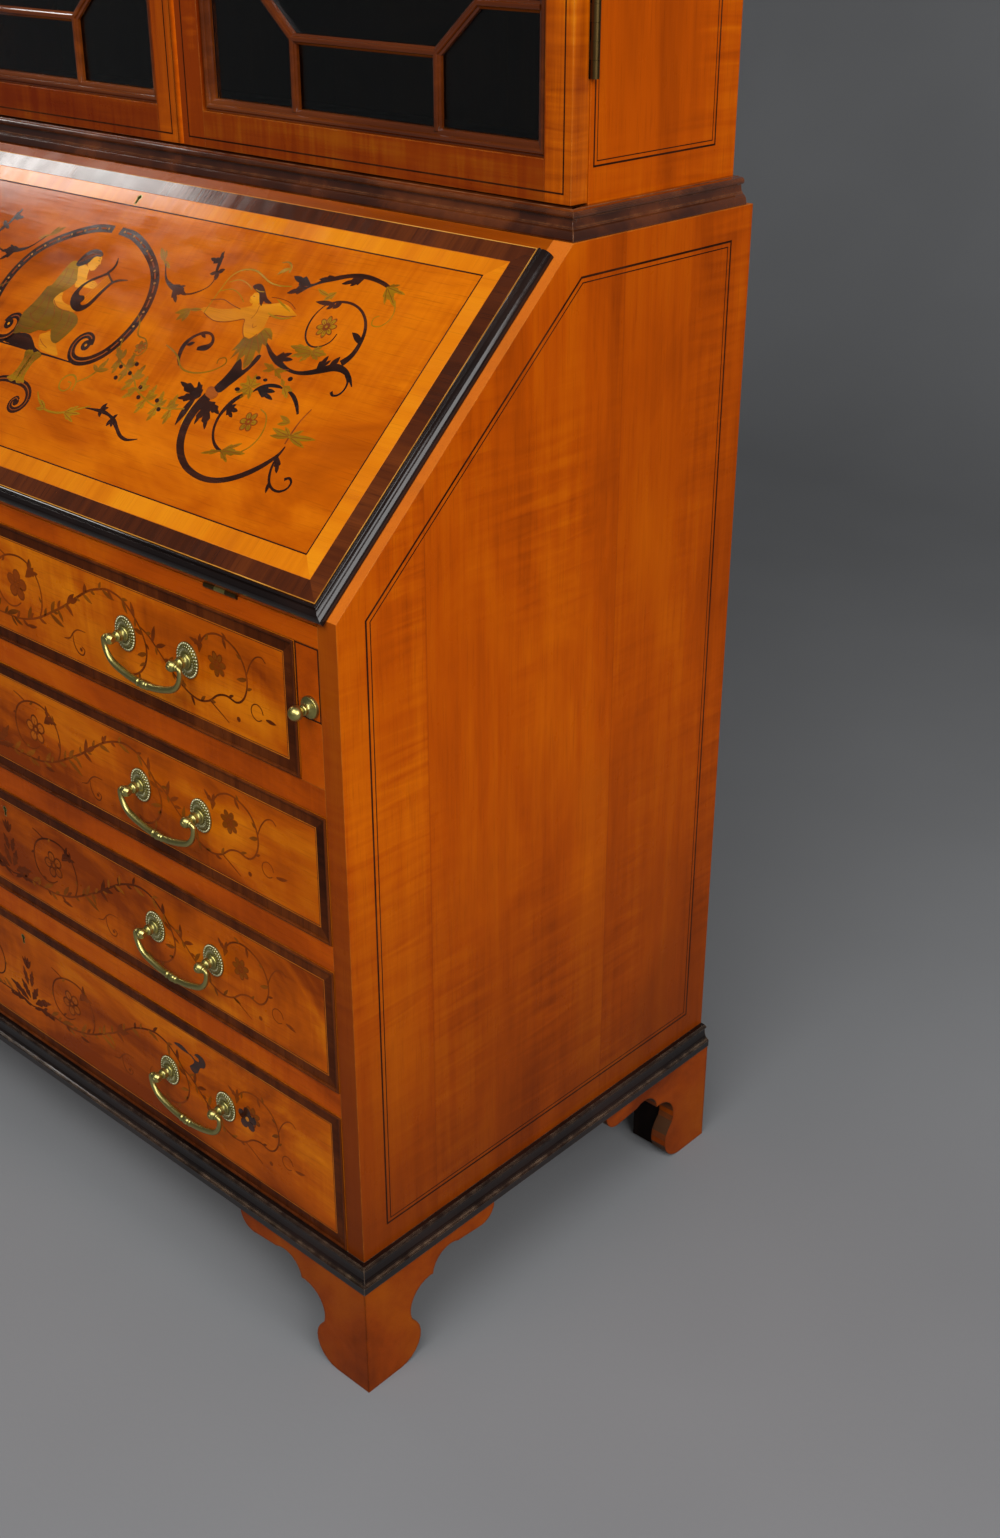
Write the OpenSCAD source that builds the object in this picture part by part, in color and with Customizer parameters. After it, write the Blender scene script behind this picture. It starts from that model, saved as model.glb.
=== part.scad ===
// Bureau bookcase: a slant-front bureau with four long drawers, a hinged writing fall on
// two lopers and a fitted interior, carrying a glazed bookcase with two astragal doors.
// Millimetres, +Z up, front towards -Y, origin at the middle of the footprint on the floor.

/* [Bureau carcase] */
// Width over the bureau sides
body_w = 964; // [900:2:1040]
// Depth from the drawer fronts to the back of the bureau
body_d = 480; // [440:2:540]
// Height of the bottom end of the sloping front
slope_bottom_z = 730; // [724:1:744]
// Height of the top of the bureau
body_top_z = 958; // [940:1:990]
// Distance of the flat top's front edge behind the front
slope_top_y = 252; // [236:1:270]
// Thickness of the bureau sides
side_t = 20; // [17:0.5:23]
// Thickness of the back boards
back_t = 10; // [6:0.5:14]
// Thickness of the bureau's top board
top_t = 22; // [20:0.5:28]
// Height of the writing surface
bed_z = 722.5; // [718:0.5:724]
// Thickness of the writing bed
bed_t = 17; // [13:0.5:20]
// Width of the strip of top board above the fall
top_strip_w = 14; // [13:0.5:20]

/* [Base and feet] */
// Height of the bracket feet
foot_h = 114; // [112:1:122]
// Thickness of the brackets
foot_t = 18; // [14:0.5:24]
// Distance that the feet stand out from the carcase
foot_out = 10; // [6:0.5:11]
// Height of the base moulding
base_h = 24.5; // [22:0.5:30]
// Distance that the base moulding stands out
base_out = 11; // [10.5:0.5:16]
// Side of the square block inside each foot
block_w = 34; // [26:1:40]
// Clearance between the corner blocks and the floor
block_lift = 3; // [2:1:10]

/* [Long drawers] */
// Height of the bottom drawer's opening
opening_4_h = 144.5; // [136:0.5:150]
// Height of the third drawer's opening
opening_3_h = 120; // [112:0.5:124]
// Height of the second drawer's opening
opening_2_h = 115.5; // [108:0.5:120]
// Thickness of the rails between the drawers
rail_t = 24; // [18:0.5:26]
// Depth of the rails from front to back
rail_d = 60; // [45:1:90]
// Width of the runners under the drawers
runner_w = 60; // [48:1:80]
// Thickness of the drawer fronts
front_t = 19; // [16:0.5:24]
// Thickness of the drawer sides and backs
drawer_side_t = 10; // [7:0.5:12]
// Thickness of the drawer bottoms
drawer_bottom_t = 6; // [4:0.5:8]
// Height of the drawer bottom above the bottom edges of its sides
drawer_bottom_lift = 7; // [5:0.5:9]
// Space between the drawers and the back boards
drawer_back_gap = 30; // [24:1:80]
// Clearance between a drawer front and its opening
drawer_gap = 0.8; // [0.5:0.1:1.2]
// Height of the drawer sides below the top of the front
side_drop = 8; // [5:0.5:12]

/* [Lopers] */
// Width of a loper
loper_w = 25.7; // [22:0.1:28]
// Height of a loper
loper_h = 60; // [50:0.5:66]
// Length of a loper
loper_len = 330; // [300:1:400]
// Distance that a loper slides out
loper_travel = 250; // [200:1:260]
// Thickness of the partitions beside the lopers
partition_t = 8; // [6:0.5:9]
// Clearance round a loper
loper_gap = 0.3; // [0.3:0.05:0.5]
// Radius of the loper's stop peg
peg_r = 3.5; // [2.5:0.25:4]
// Radius of the loper's knob
loper_knob_r = 6; // [5:0.25:8]
// Radius of the plate behind the loper's knob
loper_plate_r = 9; // [7:0.25:11]
// Height of the knob above the loper's bottom edge
loper_knob_z = 11; // [10:0.5:24]

/* [Fall] */
// Thickness of the fall
fall_t = 14; // [13:0.5:16]
// Distance of the fall's lipped edges inside the bureau's outer faces
fall_inset = 9.5; // [8:0.5:18]
// Width of the lip moulding on the fall's edges
lip_w = 11; // [6:0.5:13]
// Clearance round the fall
fall_gap = 0.5; // [0.3:0.1:0.8]
// Distance of each fall hinge from the middle
fall_hinge_x = 355; // [300:1:380]
// Length of a fall hinge
fall_hinge_len = 38; // [30:1:60]
// Width of each leaf of a fall hinge
fall_leaf_w = 28; // [20:1:40]
// Radius of a fall hinge's knuckle
fall_knuckle_r = 2.3; // [2:0.1:2.6]
// Radius of a fall hinge's pin
fall_pin_r = 1; // [0.8:0.1:1.2]
// Thickness of the fall hinge leaves
fall_leaf_t = 1.3; // [1:0.1:1.6]

/* [Interior] */
// Distance of the pigeonholes' front behind the drawer fronts
nest_y = 245; // [240:1:280]
// Thickness of the pigeonhole boards
nest_t = 8; // [6:0.5:9]
// Height of the row of small drawers
nest_row_h = 60; // [44:1:62]
// Half of the width of the middle compartment
nest_mid_half = 106; // [90:1:130]
// Pigeonholes on each side
nest_holes = 4; // [3:1:5]
// Thickness of the small drawers' fronts
nest_front_t = 10; // [8:0.5:12]
// Thickness of the small drawers' sides, backs and bottoms
nest_board_t = 6; // [4:0.5:7]
// Space between the small drawers and the back boards
nest_back_gap = 20; // [13:1:45]
// Radius of the small drawers' knobs
nest_knob_r = 5; // [4:0.25:6]

/* [Bookcase] */
// Height over the cornice
total_h = 2150; // [2050:5:2250]
// Distance of the bookcase's sides inside the bureau's outer faces
book_inset = 16; // [14:0.5:18]
// Distance of the door fronts behind the drawer fronts
door_y = 268; // [266:0.5:272]
// Distance of the bookcase's back in front of the bureau's back
book_back_inset = 8; // [2:1:30]
// Thickness of the bookcase sides
book_side_t = 18; // [15:0.5:21]
// Thickness of the shelves
shelf_t = 16; // [12:0.5:20]
// Number of shelves
shelf_count = 3; // [2:1:4]
// Thickness of the bookcase's bottom and top boards
book_board_t = 20; // [16:0.5:24]
// Height of the waist moulding
waist_h = 22; // [20:0.5:26]
// Distance that the waist moulding stands out from the bookcase
waist_out = 15; // [13:0.5:16]
// Height of the frieze under the cornice
frieze_h = 48; // [36:1:70]
// Height of the cornice
cornice_h = 60; // [50:1:80]
// Distance that the cornice stands out
cornice_out = 46; // [40:1:60]

/* [Glazed doors] */
// Thickness of the doors
door_t = 19; // [17:0.5:22]
// Width of the stiles and rails, without the glazing moulding
stile_w = 27; // [24:0.5:34]
// Extra width of the right door's meeting stile
meeting_extra = 10; // [0:0.5:14]
// Extra width of a door's rails
rail_extra = 4; // [0:0.5:10]
// Width of the moulding round the glass
glazing_w = 11; // [8:0.5:13]
// Width of the glazing bars
bar_w = 8.5; // [6:0.5:10]
// Depth of the glazing bars in front of the glass
bar_d = 6; // [4:0.5:7]
// Distance of the glazing bars' face behind the door's face
bar_set = 3; // [2:0.5:4]
// Thickness of the glass
glass_t = 2; // [1.5:0.25:3]
// Half of the width between the upright bars at the bottom of the pattern
bar_near = 83.5; // [70:0.5:92]
// Half of the width between the long upright bars
bar_far = 127.5; // [115:0.5:140]
// Height of the lower corners of the pattern above the glass's bottom edge
bar_low = 55; // [45:0.5:62]
// Height of the upper corners of the pattern above the glass's bottom edge
bar_high = 93; // [85:0.5:110]
// Length of a door hinge
door_hinge_len = 64; // [50:1:80]
// Height of the hinge's end from the door's end
door_hinge_end = 88; // [70:1:120]
// Radius of a door hinge's knuckle
door_knuckle_r = 3.4; // [3:0.1:3.8]
// Radius of a door hinge's pin
door_pin_r = 1.6; // [1.2:0.1:1.8]
// Thickness of the door hinge leaves
door_leaf_t = 1.3; // [1:0.1:1.8]
// Width of the door hinge leaves
door_leaf_w = 16; // [12:0.5:18]

/* [Brass handles] */
// Distance of each handle from the middle of its drawer
handle_x = 267; // [240:1:290]
// Distance between a handle's two posts
handle_pitch = 80; // [76:0.5:90]
// Height of the posts above the middle of the drawer front
handle_lift = 3; // [0:0.5:6]
// Width of the oval rosettes
rosette_w = 26; // [22:0.5:30]
// Height of the oval rosettes
rosette_h = 31; // [26:0.5:34]
// Distance of the post's ball in front of the drawer
ball_y = 16; // [14:0.5:20]
// Radius of the post's ball
ball_r = 5; // [4.5:0.25:6]
// Depth of the flats where the bail's pins enter the ball
ball_flat = 0.6; // [0.5:0.1:0.8]
// Radius of the post's shank
shank_r = 3; // [2.5:0.25:3.5]
// Radius of the bolt through the drawer front
bolt_r = 2; // [1.5:0.25:2.5]
// Radius of the bail's wire at its grip
bail_r = 2.4; // [2:0.1:2.8]
// Radius of the bail's arms
bail_arm_r = 1.9; // [1.7:0.05:2]
// Radius of the bail's ends, where its pins are
bail_eye_r = 2.2; // [2:0.05:2.4]
// Radius of the ring at the middle of the bail
bail_ring_r = 3.4; // [3:0.1:4]
// Radius of the pins at the bail's ends
bail_pin_r = 1.5; // [1.2:0.1:1.8]
// Distance of the bail's arms outside the posts
bail_out = 9; // [8.5:0.25:11]
// Distance that the bail hangs below its pins, to the middle of its wire
bail_drop = 28; // [26:0.5:34]

/* [Locks] */
// Width of a lock's case
lock_w = 50; // [40:1:60]
// Height of a lock's case
lock_h = 32; // [26:1:38]
// Thickness of a lock's case
lock_t = 9; // [7:0.5:10]
// Distance of the keyhole below the top edge of its board
keyhole_drop = 22; // [18:0.5:26]
// Radius of the round end of a keyhole
keyhole_r = 2.2; // [1.8:0.1:2.6]

/* [Hidden] */
$fn = 48;

// Colours
satinwood = [0.80, 0.45, 0.14];
rosewood = [0.30, 0.14, 0.09];
ebonised = [0.13, 0.09, 0.09];
oak = [0.62, 0.45, 0.27];
brass = [0.72, 0.64, 0.34];

// Glue line between boards of one sub-part, and running clearances
glue = 0.1;
slide_gap = 0.5;
pin_gap = 0.05;
through = 1;

// Carcase
half_w = body_w / 2;
inner_half = half_w - side_t;
inner_back = body_d - back_t;
drawer_len = inner_back - drawer_back_gap;
handle_reach = ball_y + ball_r;
front_y = -(body_d - handle_reach) / 2;

// Slope: angle from the horizontal, and length along the sides' sloping edge
slope_a = atan2(body_top_z - slope_bottom_z, slope_top_y);
slope_len = norm([slope_top_y, body_top_z - slope_bottom_z]);
bed_drop = slope_bottom_z - bed_z;
// Depth of the fall's inner face below the sloping edges, and its hinge line along them
fall_in = bed_drop * cos(slope_a);
hinge_s = -bed_drop * sin(slope_a);
fall_len = slope_len - top_strip_w - hinge_s - fall_gap;
fall_half = half_w - fall_inset;
// Height at which the lip clears the sloping edges, above the fall's inner face
lip_z = fall_in + fall_gap;
fall_key_y = fall_len - keyhole_drop;

// Drawer openings, counted from the top drawer
floor_z = foot_h + base_h;
opening_4_z = floor_z;
opening_3_z = opening_4_z + opening_4_h + rail_t;
opening_2_z = opening_3_z + opening_3_h + rail_t;
opening_1_z = opening_2_z + opening_2_h + rail_t;
opening_1_h = bed_z - bed_t - opening_1_z;
openings_z = [opening_1_z, opening_2_z, opening_3_z, opening_4_z];
openings_h = [opening_1_h, opening_2_h, opening_3_h, opening_4_h];
top_drawer_half = inner_half - loper_w - 2 * loper_gap - drawer_gap;
partition_x = inner_half - loper_w - 2 * loper_gap - partition_t;
stop_w = 30;
stop_h = 5;
stop_x = 200;

// Lopers
loper_top_z = bed_z - bed_t - loper_gap;
loper_z = loper_top_z - loper_h;
loper_x = inner_half - loper_gap - loper_w;
peg_y = loper_len - 4 * peg_r;
loper_knob_y = 15;
loper_plate_t = 2;

// Interior
nest_top_z = body_top_z - top_t;
nest_shelf_z = bed_z + nest_row_h;
nest_back = inner_back - glue;
nest_drawer_len = inner_back - nest_back_gap - nest_y;
nest_side_in = inner_half - nest_t;
nest_bay = nest_side_in - nest_mid_half - nest_t;

// Bookcase
book_half = half_w - book_inset;
book_back_y = body_d - book_back_inset;
carcase_front = door_y + door_t + slide_gap;
waist_top_z = body_top_z + waist_h;
door_gap = 1;
door_z = waist_top_z + door_gap;
frieze_z = total_h - cornice_h - frieze_h;
door_h = frieze_z - door_gap - door_z;
// Height of a door's rail that laps the board behind it
rail_lap = 15;
book_floor_z = door_z + rail_lap;
book_ceiling_z = frieze_z - rail_lap;
book_back_t = 9;
// Thickness of the cornice's flat top, and the height under it
cap_t = 8;
cap_z = total_h - cap_t;
dust_board_t = 6;
book_inner = book_half - book_side_t;
shelf_pitch = (book_ceiling_z - book_floor_z) / (shelf_count + 1);
bearer_h = 12;
bearer_w = 10;
shelf_set = 5;

// Doors: each half starts beside the middle line
meeting_gap = 0.7;
door_edge = book_half - door_gap;
// Thickness of the bead that holds the glass from behind
bead_t = 4;
door_hinge_x = book_half + door_knuckle_r + 0.3;
door_hinge_y = carcase_front - slide_gap / 2;
knuckles = 5;

// Handles: each side of a bail is a small elbow and a corner arc, and one shallow arc joins them
elbow_r = bail_out - ball_r - 0.4;
bottom_a = 20;
bail_half = handle_pitch / 2 + bail_out;
elbow_x = bail_half - elbow_r;
bottom_share = (1 - cos(bottom_a)) / sin(bottom_a);
corner_r = (bail_drop - elbow_r - bail_half * bottom_share)
    / (cos(bottom_a) - bottom_share * (1 - sin(bottom_a)));
bottom_r = (bail_half - corner_r * (1 - sin(bottom_a))) / sin(bottom_a);
ring_len = 7;
ring_a = 90 - asin(ring_len / 2 / bottom_r) - 1;
eye_len = 0.6;
wire_sides = 8;

// Stations of a bail's wire, [x, z, direction, radius], in the plane of its posts
function bend(x, z, r, a0, a1, r0, r1, n) =
    [for (i = [1:n]) let (t = i / n, a = a0 + (a1 - a0) * t)
        [x + r * cos(a), z + r * sin(a), a - 90, r0 + (r1 - r0) * t]];
function mirrored(path) =
    [for (i = [len(path) - 1:-1:0]) [-path[i][0], path[i][1], -path[i][2], path[i][3]]];
bail_side = concat(
    [for (x = [-eye_len / 2, eye_len / 2]) [elbow_x + x, 0, 0, bail_eye_r]],
    bend(elbow_x, -elbow_r, elbow_r, 90, 0, bail_arm_r, bail_arm_r, 4),
    bend(bail_half - corner_r, -elbow_r, corner_r, 0, bottom_a - 90, bail_arm_r, bail_r, 5),
    bend(0, bottom_r - bail_drop, bottom_r, bottom_a - 90, -ring_a, bail_r, bail_r, 4),
    [[ring_len / 2, -bail_drop, -180, bail_ring_r]]);
rosette_t = 2.6;
post_ring_t = 2;
nut_r = 2.4 * bolt_r;
nut_t = 1.5 * bolt_r;

// Points on an arc from angle a0 to a1
function arc(cx, cy, r, a0, a1, n = 8) =
    [for (i = [0:n]) let (a = a0 + (a1 - a0) * i / n) [cx + r * cos(a), cy + r * sin(a)]];

// Points on a hollow quarter curve that leaves the first point level and meets the second upright
function cove(p0, z0, p1, z1, n = 8) =
    [for (i = [0:n]) let (a = 90 * i / n) [p1 + (p0 - p1) * (1 - sin(a)), z1 - (z1 - z0) * cos(a)]];

// A point of the side elevation, s along the slope and h above it
function on_slope(s, h) =
    [s * cos(slope_a) - h * sin(slope_a), slope_bottom_z + s * sin(slope_a) + h * cos(slope_a)];

// From cabinet coordinates, with Y = 0 at the drawer fronts, to the part's own frame
module cabinet() {
    translate([0, front_y, 0]) children();
}

module both_sides() {
    children();
    mirror([1, 0, 0]) children();
}

module block(x, y, z) {
    translate([x[0], y[0], z[0]]) cube([x[1] - x[0], y[1] - y[0], z[1] - z[0]]);
}

// Extrudes a side elevation, drawn in Y and Z, along X
module along_x(x0, length) {
    translate([x0, 0, 0]) rotate([90, 0, 90]) linear_extrude(length) children();
}

// Places children on the fall: X across, Y up the slope from the hinge line, Z outwards
module on_fall() {
    translate([0, 0, bed_z]) rotate([slope_a, 0, 0]) children();
}

// One run of moulding along X with its outside towards -Y. The profile's points are
// [distance out, height]. A mitred end grows outwards at 45 degrees.
module moulding_run(profile, length, out, depth, height, mitre_end) {
    intersection() {
        along_x(-out, length + 2 * out) polygon([for (p = profile) [-p[0], p[1]]]);
        translate([0, 0, -through]) linear_extrude(height + 2 * through)
            polygon(concat(
                [[glue, depth], [glue, 0], [glue - out, -out]],
                mitre_end ? [[length - glue + out, -out], [length - glue, 0]] : [[length, -out]],
                [[mitre_end ? length - glue : length, depth]]));
    }
}

// A moulding round the front and both ends of a case
module moulding_frame(profile, half, y_front, y_back, out, depth, height) {
    translate([-half, y_front, 0]) moulding_run(profile, 2 * half, out, depth, height, true);
    both_sides()
        translate([half, y_front, 0]) rotate(90)
            moulding_run([for (p = profile) [max(p[0], 0), p[1]]], y_back - y_front, out, 0, height, false);
}

// Bureau carcase

module bureau_sides() {
    color(satinwood) cabinet() both_sides()
        along_x(inner_half, side_t) polygon([
            [0, foot_h], [body_d, foot_h], [body_d, body_top_z],
            [slope_top_y, body_top_z], [0, slope_bottom_z]]);
}

module bureau_top() {
    rebate_h = fall_in + fall_gap;
    rebate_s = (nest_top_z - slope_bottom_z + rebate_h * cos(slope_a)) / sin(slope_a);
    strip_s = slope_len - top_strip_w;
    color(satinwood) cabinet()
        along_x(-inner_half, 2 * inner_half) polygon([
            [inner_back, nest_top_z], [inner_back, body_top_z], [slope_top_y, body_top_z],
            on_slope(strip_s, 0), on_slope(strip_s, -rebate_h), on_slope(rebate_s, -rebate_h)]);
}

module writing_bed() {
    color(satinwood) cabinet() difference() {
        block([-inner_half, inner_half], [0, inner_back], [bed_z - bed_t, bed_z]);
        both_sides() {
            knuckle_groove();
            block([fall_hinge_x - fall_hinge_len / 2 - glue, fall_hinge_x + fall_hinge_len / 2 + glue],
                [0, fall_leaf_w + glue], [bed_z - fall_leaf_t, bed_z + through]);
        }
    }
}

module bottom_board() {
    color(oak) cabinet()
        block([-inner_half, inner_half], [0, inner_back], [foot_h, floor_z]);
}

module bureau_back() {
    boards = 4;
    board_w = 2 * inner_half / boards;
    color(oak) cabinet()
        for (i = [0:boards - 1])
            block([i * board_w - inner_half, (i + 1) * board_w - inner_half - glue],
                [inner_back, body_d], [foot_h, body_top_z]);
}

module drawer_rails() {
    color(satinwood) cabinet()
        for (z = [opening_1_z, opening_2_z, opening_3_z])
            block([-inner_half, inner_half], [0, rail_d], [z - rail_t, z]);
}

module drawer_runners() {
    color(oak) cabinet() {
        both_sides() for (z = [opening_1_z, opening_2_z, opening_3_z])
            block([inner_half - runner_w, inner_half], [rail_d + glue, inner_back], [z - rail_t, z]);
        both_sides() for (z = openings_z)
            block([stop_x, stop_x + stop_w], [front_t + slide_gap, rail_d - through], [z, z + stop_h]);
    }
}

// The slot lets the loper's stop peg travel
module loper_partitions() {
    slot_r = peg_r + loper_gap;
    color(oak) cabinet() both_sides() difference() {
        block([partition_x, partition_x + partition_t], [front_t + slide_gap, inner_back],
            [opening_1_z, bed_z - bed_t]);
        block([partition_x - through, partition_x + partition_t + through],
            [peg_y - loper_travel - slot_r, peg_y + slot_r],
            [loper_z + loper_h / 2 - slot_r, loper_z + loper_h / 2 + slot_r]);
    }
}

module loper_bearers() {
    color(satinwood) cabinet() both_sides()
        block([loper_x, inner_half], [0, inner_back], [opening_1_z, loper_z - loper_gap]);
}

module base_moulding() {
    fillet_h = 8;
    neck_out = 5;
    neck_h = 3;
    profile = concat(
        [[0, 0], [base_out, 0], [base_out, fillet_h]],
        cove(base_out - 1.5, fillet_h + 1, neck_out, base_h - neck_h),
        [[neck_out, base_h], [0, base_h]]);
    color(ebonised) cabinet() translate([0, 0, foot_h])
        moulding_frame(profile, half_w, 0, body_d, base_out, 0, base_h);
}

// Outline of a bracket: X is the distance from the corner, Y the height
module bracket_outline() {
    arch_top = foot_h - 11.5;
    polygon(concat(
        [[0, 0]],
        arc(40, 26, 26, -90, 35),
        arc(80, 57, 26, 200, 92),
        arc(105, arch_top - 22, 22, 175, 60),
        arc(147, foot_h, 17, 270, 360),
        [[0, foot_h]]));
}

// A bracket along X from the foot's corner, mitred at the corner
module bracket() {
    reach = 170;
    intersection() {
        translate([0, foot_t, 0]) rotate([90, 0, 0]) linear_extrude(foot_t) bracket_outline();
        linear_extrude(foot_h) polygon([[glue, 0], [reach, 0], [reach, foot_t], [foot_t + glue, foot_t]]);
    }
}

// The two brackets of a foot, meeting at its outer corner
module foot_pair() {
    bracket();
    mirror([1, -1, 0]) bracket();
}

module bracket_feet() {
    foot_half = half_w + foot_out;
    color(satinwood) cabinet() both_sides() {
        translate([foot_half, -foot_out, 0]) mirror([1, 0, 0]) foot_pair();
        translate([foot_half, body_d, 0]) rotate(180) foot_pair();
    }
}

module foot_blocks() {
    block_x = half_w + foot_out - foot_t - glue;
    color(oak) cabinet() both_sides() {
        block([block_x - block_w, block_x], [foot_t + glue - foot_out, foot_t + glue - foot_out + block_w],
            [block_lift, foot_h]);
        block([block_x - block_w, block_x], [body_d - foot_t - glue - block_w, body_d - foot_t - glue],
            [block_lift, foot_h]);
    }
}

// Uprights, shelves and top of the fitted interior
module pigeonholes() {
    hole_pitch = (nest_bay + nest_t) / nest_holes;
    color(satinwood) cabinet() {
        both_sides() {
            block([nest_side_in, inner_half - glue], [nest_y, nest_back], [bed_z, nest_top_z - nest_t - glue]);
            block([nest_mid_half, nest_mid_half + nest_t], [nest_y, nest_back],
                [bed_z, nest_top_z - nest_t - glue]);
            block([nest_mid_half + nest_t + glue, nest_side_in - glue], [nest_y, nest_back],
                [nest_shelf_z, nest_shelf_z + nest_t]);
            for (i = [1:nest_holes - 1])
                block([nest_mid_half + i * hole_pitch, nest_mid_half + i * hole_pitch + nest_t],
                    [nest_y, nest_back], [nest_shelf_z + nest_t + glue, nest_top_z - nest_t - glue]);
        }
        block([glue - nest_mid_half, nest_mid_half - glue], [nest_y, nest_back],
            [nest_shelf_z, nest_shelf_z + nest_t]);
        block([-inner_half, inner_half], [nest_y, nest_back], [nest_top_z - nest_t, nest_top_z]);
    }
}

// A small drawer with its knob, from x0 to x1
module nest_drawer(x0, x1) {
    bottom = bed_z + slide_gap;
    top = nest_shelf_z - slide_gap;
    left = x0 + slide_gap;
    right = x1 - slide_gap;
    back = nest_y + nest_drawer_len;
    middle = (left + right) / 2;
    color(satinwood) cabinet() {
        block([left, right], [nest_y, nest_y + nest_front_t], [bottom, top]);
        for (x = [left, right - nest_board_t])
            block([x, x + nest_board_t], [nest_y + nest_front_t + glue, back], [bottom, top - side_drop]);
        block([left + nest_board_t + glue, right - nest_board_t - glue], [back - nest_board_t, back],
            [bottom + nest_board_t + glue, top - side_drop]);
        block([left + nest_board_t + glue, right - nest_board_t - glue],
            [nest_y + nest_front_t + glue, back], [bottom, bottom + nest_board_t]);
    }
    color(brass) cabinet() translate([middle, nest_y, (bottom + top) / 2]) {
        rotate([90, 0, 0]) cylinder(r = nest_knob_r / 2, h = nest_knob_r);
        translate([0, -nest_knob_r, 0]) rotate([90, 0, 0]) cylinder(r = nest_knob_r, h = nest_knob_r);
    }
}

module nest_drawer_left() {
    mirror([1, 0, 0]) nest_drawer_right();
}

module nest_drawer_middle() {
    nest_drawer(-nest_mid_half, nest_mid_half);
}

module nest_drawer_right() {
    nest_drawer(nest_mid_half + nest_t, nest_side_in);
}

// Fall

module knuckle_groove() {
    groove_len = fall_hinge_len + slide_gap;
    translate([fall_hinge_x - groove_len / 2, 0, bed_z]) rotate([0, 90, 0])
        cylinder(r = fall_knuckle_r + slide_gap / 2, h = groove_len);
}

// One knuckle of a fall hinge, the i-th third of its length
module fall_knuckle(i) {
    third = fall_hinge_len / 3;
    translate([fall_hinge_x - fall_hinge_len / 2 + i * third + glue, 0, bed_z]) rotate([0, 90, 0])
        cylinder(r = fall_knuckle_r, h = third - 2 * glue);
}

// A hinge leaf: its plate, and a tongue to each knuckle, a little narrower than the knuckle
module fall_leaf(tongues) {
    third = fall_hinge_len / 3;
    clear = fall_knuckle_r + slide_gap;
    side = 3 * glue;
    block([fall_hinge_x - fall_hinge_len / 2, fall_hinge_x + fall_hinge_len / 2],
        [clear, fall_leaf_w], [0, fall_leaf_t]);
    for (i = tongues)
        block([fall_hinge_x - fall_hinge_len / 2 + i * third + side,
            fall_hinge_x - fall_hinge_len / 2 + (i + 1) * third - side], [0, clear + through], [0, fall_leaf_t]);
}

module fall_board() {
    board_half = inner_half - fall_gap;
    color(satinwood) cabinet() difference() {
        on_fall() {
            block([-board_half, board_half], [fall_gap, fall_len], [0, lip_z - glue]);
            block([lip_w + glue - fall_half, fall_half - lip_w - glue], [fall_gap + lip_w + glue, fall_len],
                [lip_z - 2 * glue, fall_t]);
        }
        both_sides() {
            knuckle_groove();
            on_fall() block([fall_hinge_x - fall_hinge_len / 2 - glue, fall_hinge_x + fall_hinge_len / 2 + glue],
                [0, fall_leaf_w + glue], [-through, fall_leaf_t]);
        }
        on_fall() {
            block([-lock_w / 2 - glue, lock_w / 2 + glue], [fall_len - lock_h, fall_len + through],
                [-through, lock_t]);
            translate([0, fall_key_y, 0]) linear_extrude(fall_t + through) keyhole(1);
        }
    }
}

// Quarter-round lip on the two ends and the bottom edge
module fall_lip() {
    module section() {
        round_r = min(lip_w, fall_t - lip_z - 1);
        polygon(concat(
            [[0, lip_z], [lip_w, lip_z]],
            arc(lip_w - round_r, fall_t - round_r, round_r, 0, 90),
            [[0, fall_t]]));
    }
    color(ebonised) cabinet() on_fall() {
        both_sides()
            translate([fall_half - lip_w, fall_len, 0]) rotate([90, 0, 0])
                linear_extrude(fall_len - fall_gap) section();
        translate([lip_w + glue - fall_half, fall_gap + lip_w, 0]) rotate([90, 0, 90])
            linear_extrude(2 * (fall_half - lip_w - glue)) mirror([1, 0]) section();
    }
}

module keyhole(grow) {
    circle(r = keyhole_r + grow);
    translate([-keyhole_r / 2 - grow / 2, -3 * keyhole_r - grow]) square([keyhole_r + grow, 3 * keyhole_r]);
}

module keyhole_liner() {
    difference() {
        keyhole(1 - glue / 2);
        keyhole(0);
    }
}

// The moving leaves of the two hinges, the lock and the lined keyhole
module fall_brass() {
    color(brass) cabinet() {
        both_sides() difference() {
            union() {
                fall_knuckle(1);
                on_fall() fall_leaf([1]);
            }
            translate([0, 0, bed_z]) rotate([0, 90, 0])
                cylinder(r = fall_pin_r + pin_gap, h = half_w);
        }
        on_fall() {
            block([-lock_w / 2, lock_w / 2], [fall_len - lock_h + glue, fall_len], [0, lock_t - glue]);
            translate([0, fall_key_y, lock_t]) linear_extrude(fall_t - lock_t) keyhole_liner();
        }
    }
}

// Fixed leaves, knuckles and pins of the fall's and the doors' hinges
module fixed_hinge_leaves() {
    color(brass) cabinet() {
        both_sides() {
            for (i = [0, 2]) fall_knuckle(i);
            translate([fall_hinge_x - fall_hinge_len / 2, 0, bed_z]) rotate([0, 90, 0])
                cylinder(r = fall_pin_r, h = fall_hinge_len);
            translate([0, 0, bed_z - fall_leaf_t]) fall_leaf([0, 2]);
        }
        both_sides() for (z = door_hinges_z()) {
            for (i = [0, 2, 4]) door_knuckle(z, i);
            translate([door_hinge_x, door_hinge_y, z]) cylinder(r = door_pin_r, h = door_hinge_len);
            door_leaf(z, carcase_front, [0, 2, 4]);
        }
    }
}

// Lopers

module loper_right() {
    color(satinwood) cabinet() {
        block([loper_x, loper_x + loper_w], [0, loper_len], [loper_z, loper_top_z]);
        translate([loper_x - partition_t, peg_y, loper_z + loper_h / 2]) rotate([0, 90, 0])
            cylinder(r = peg_r, h = partition_t + through);
    }
}

module loper_left() {
    mirror([1, 0, 0]) loper_right();
}

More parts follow.
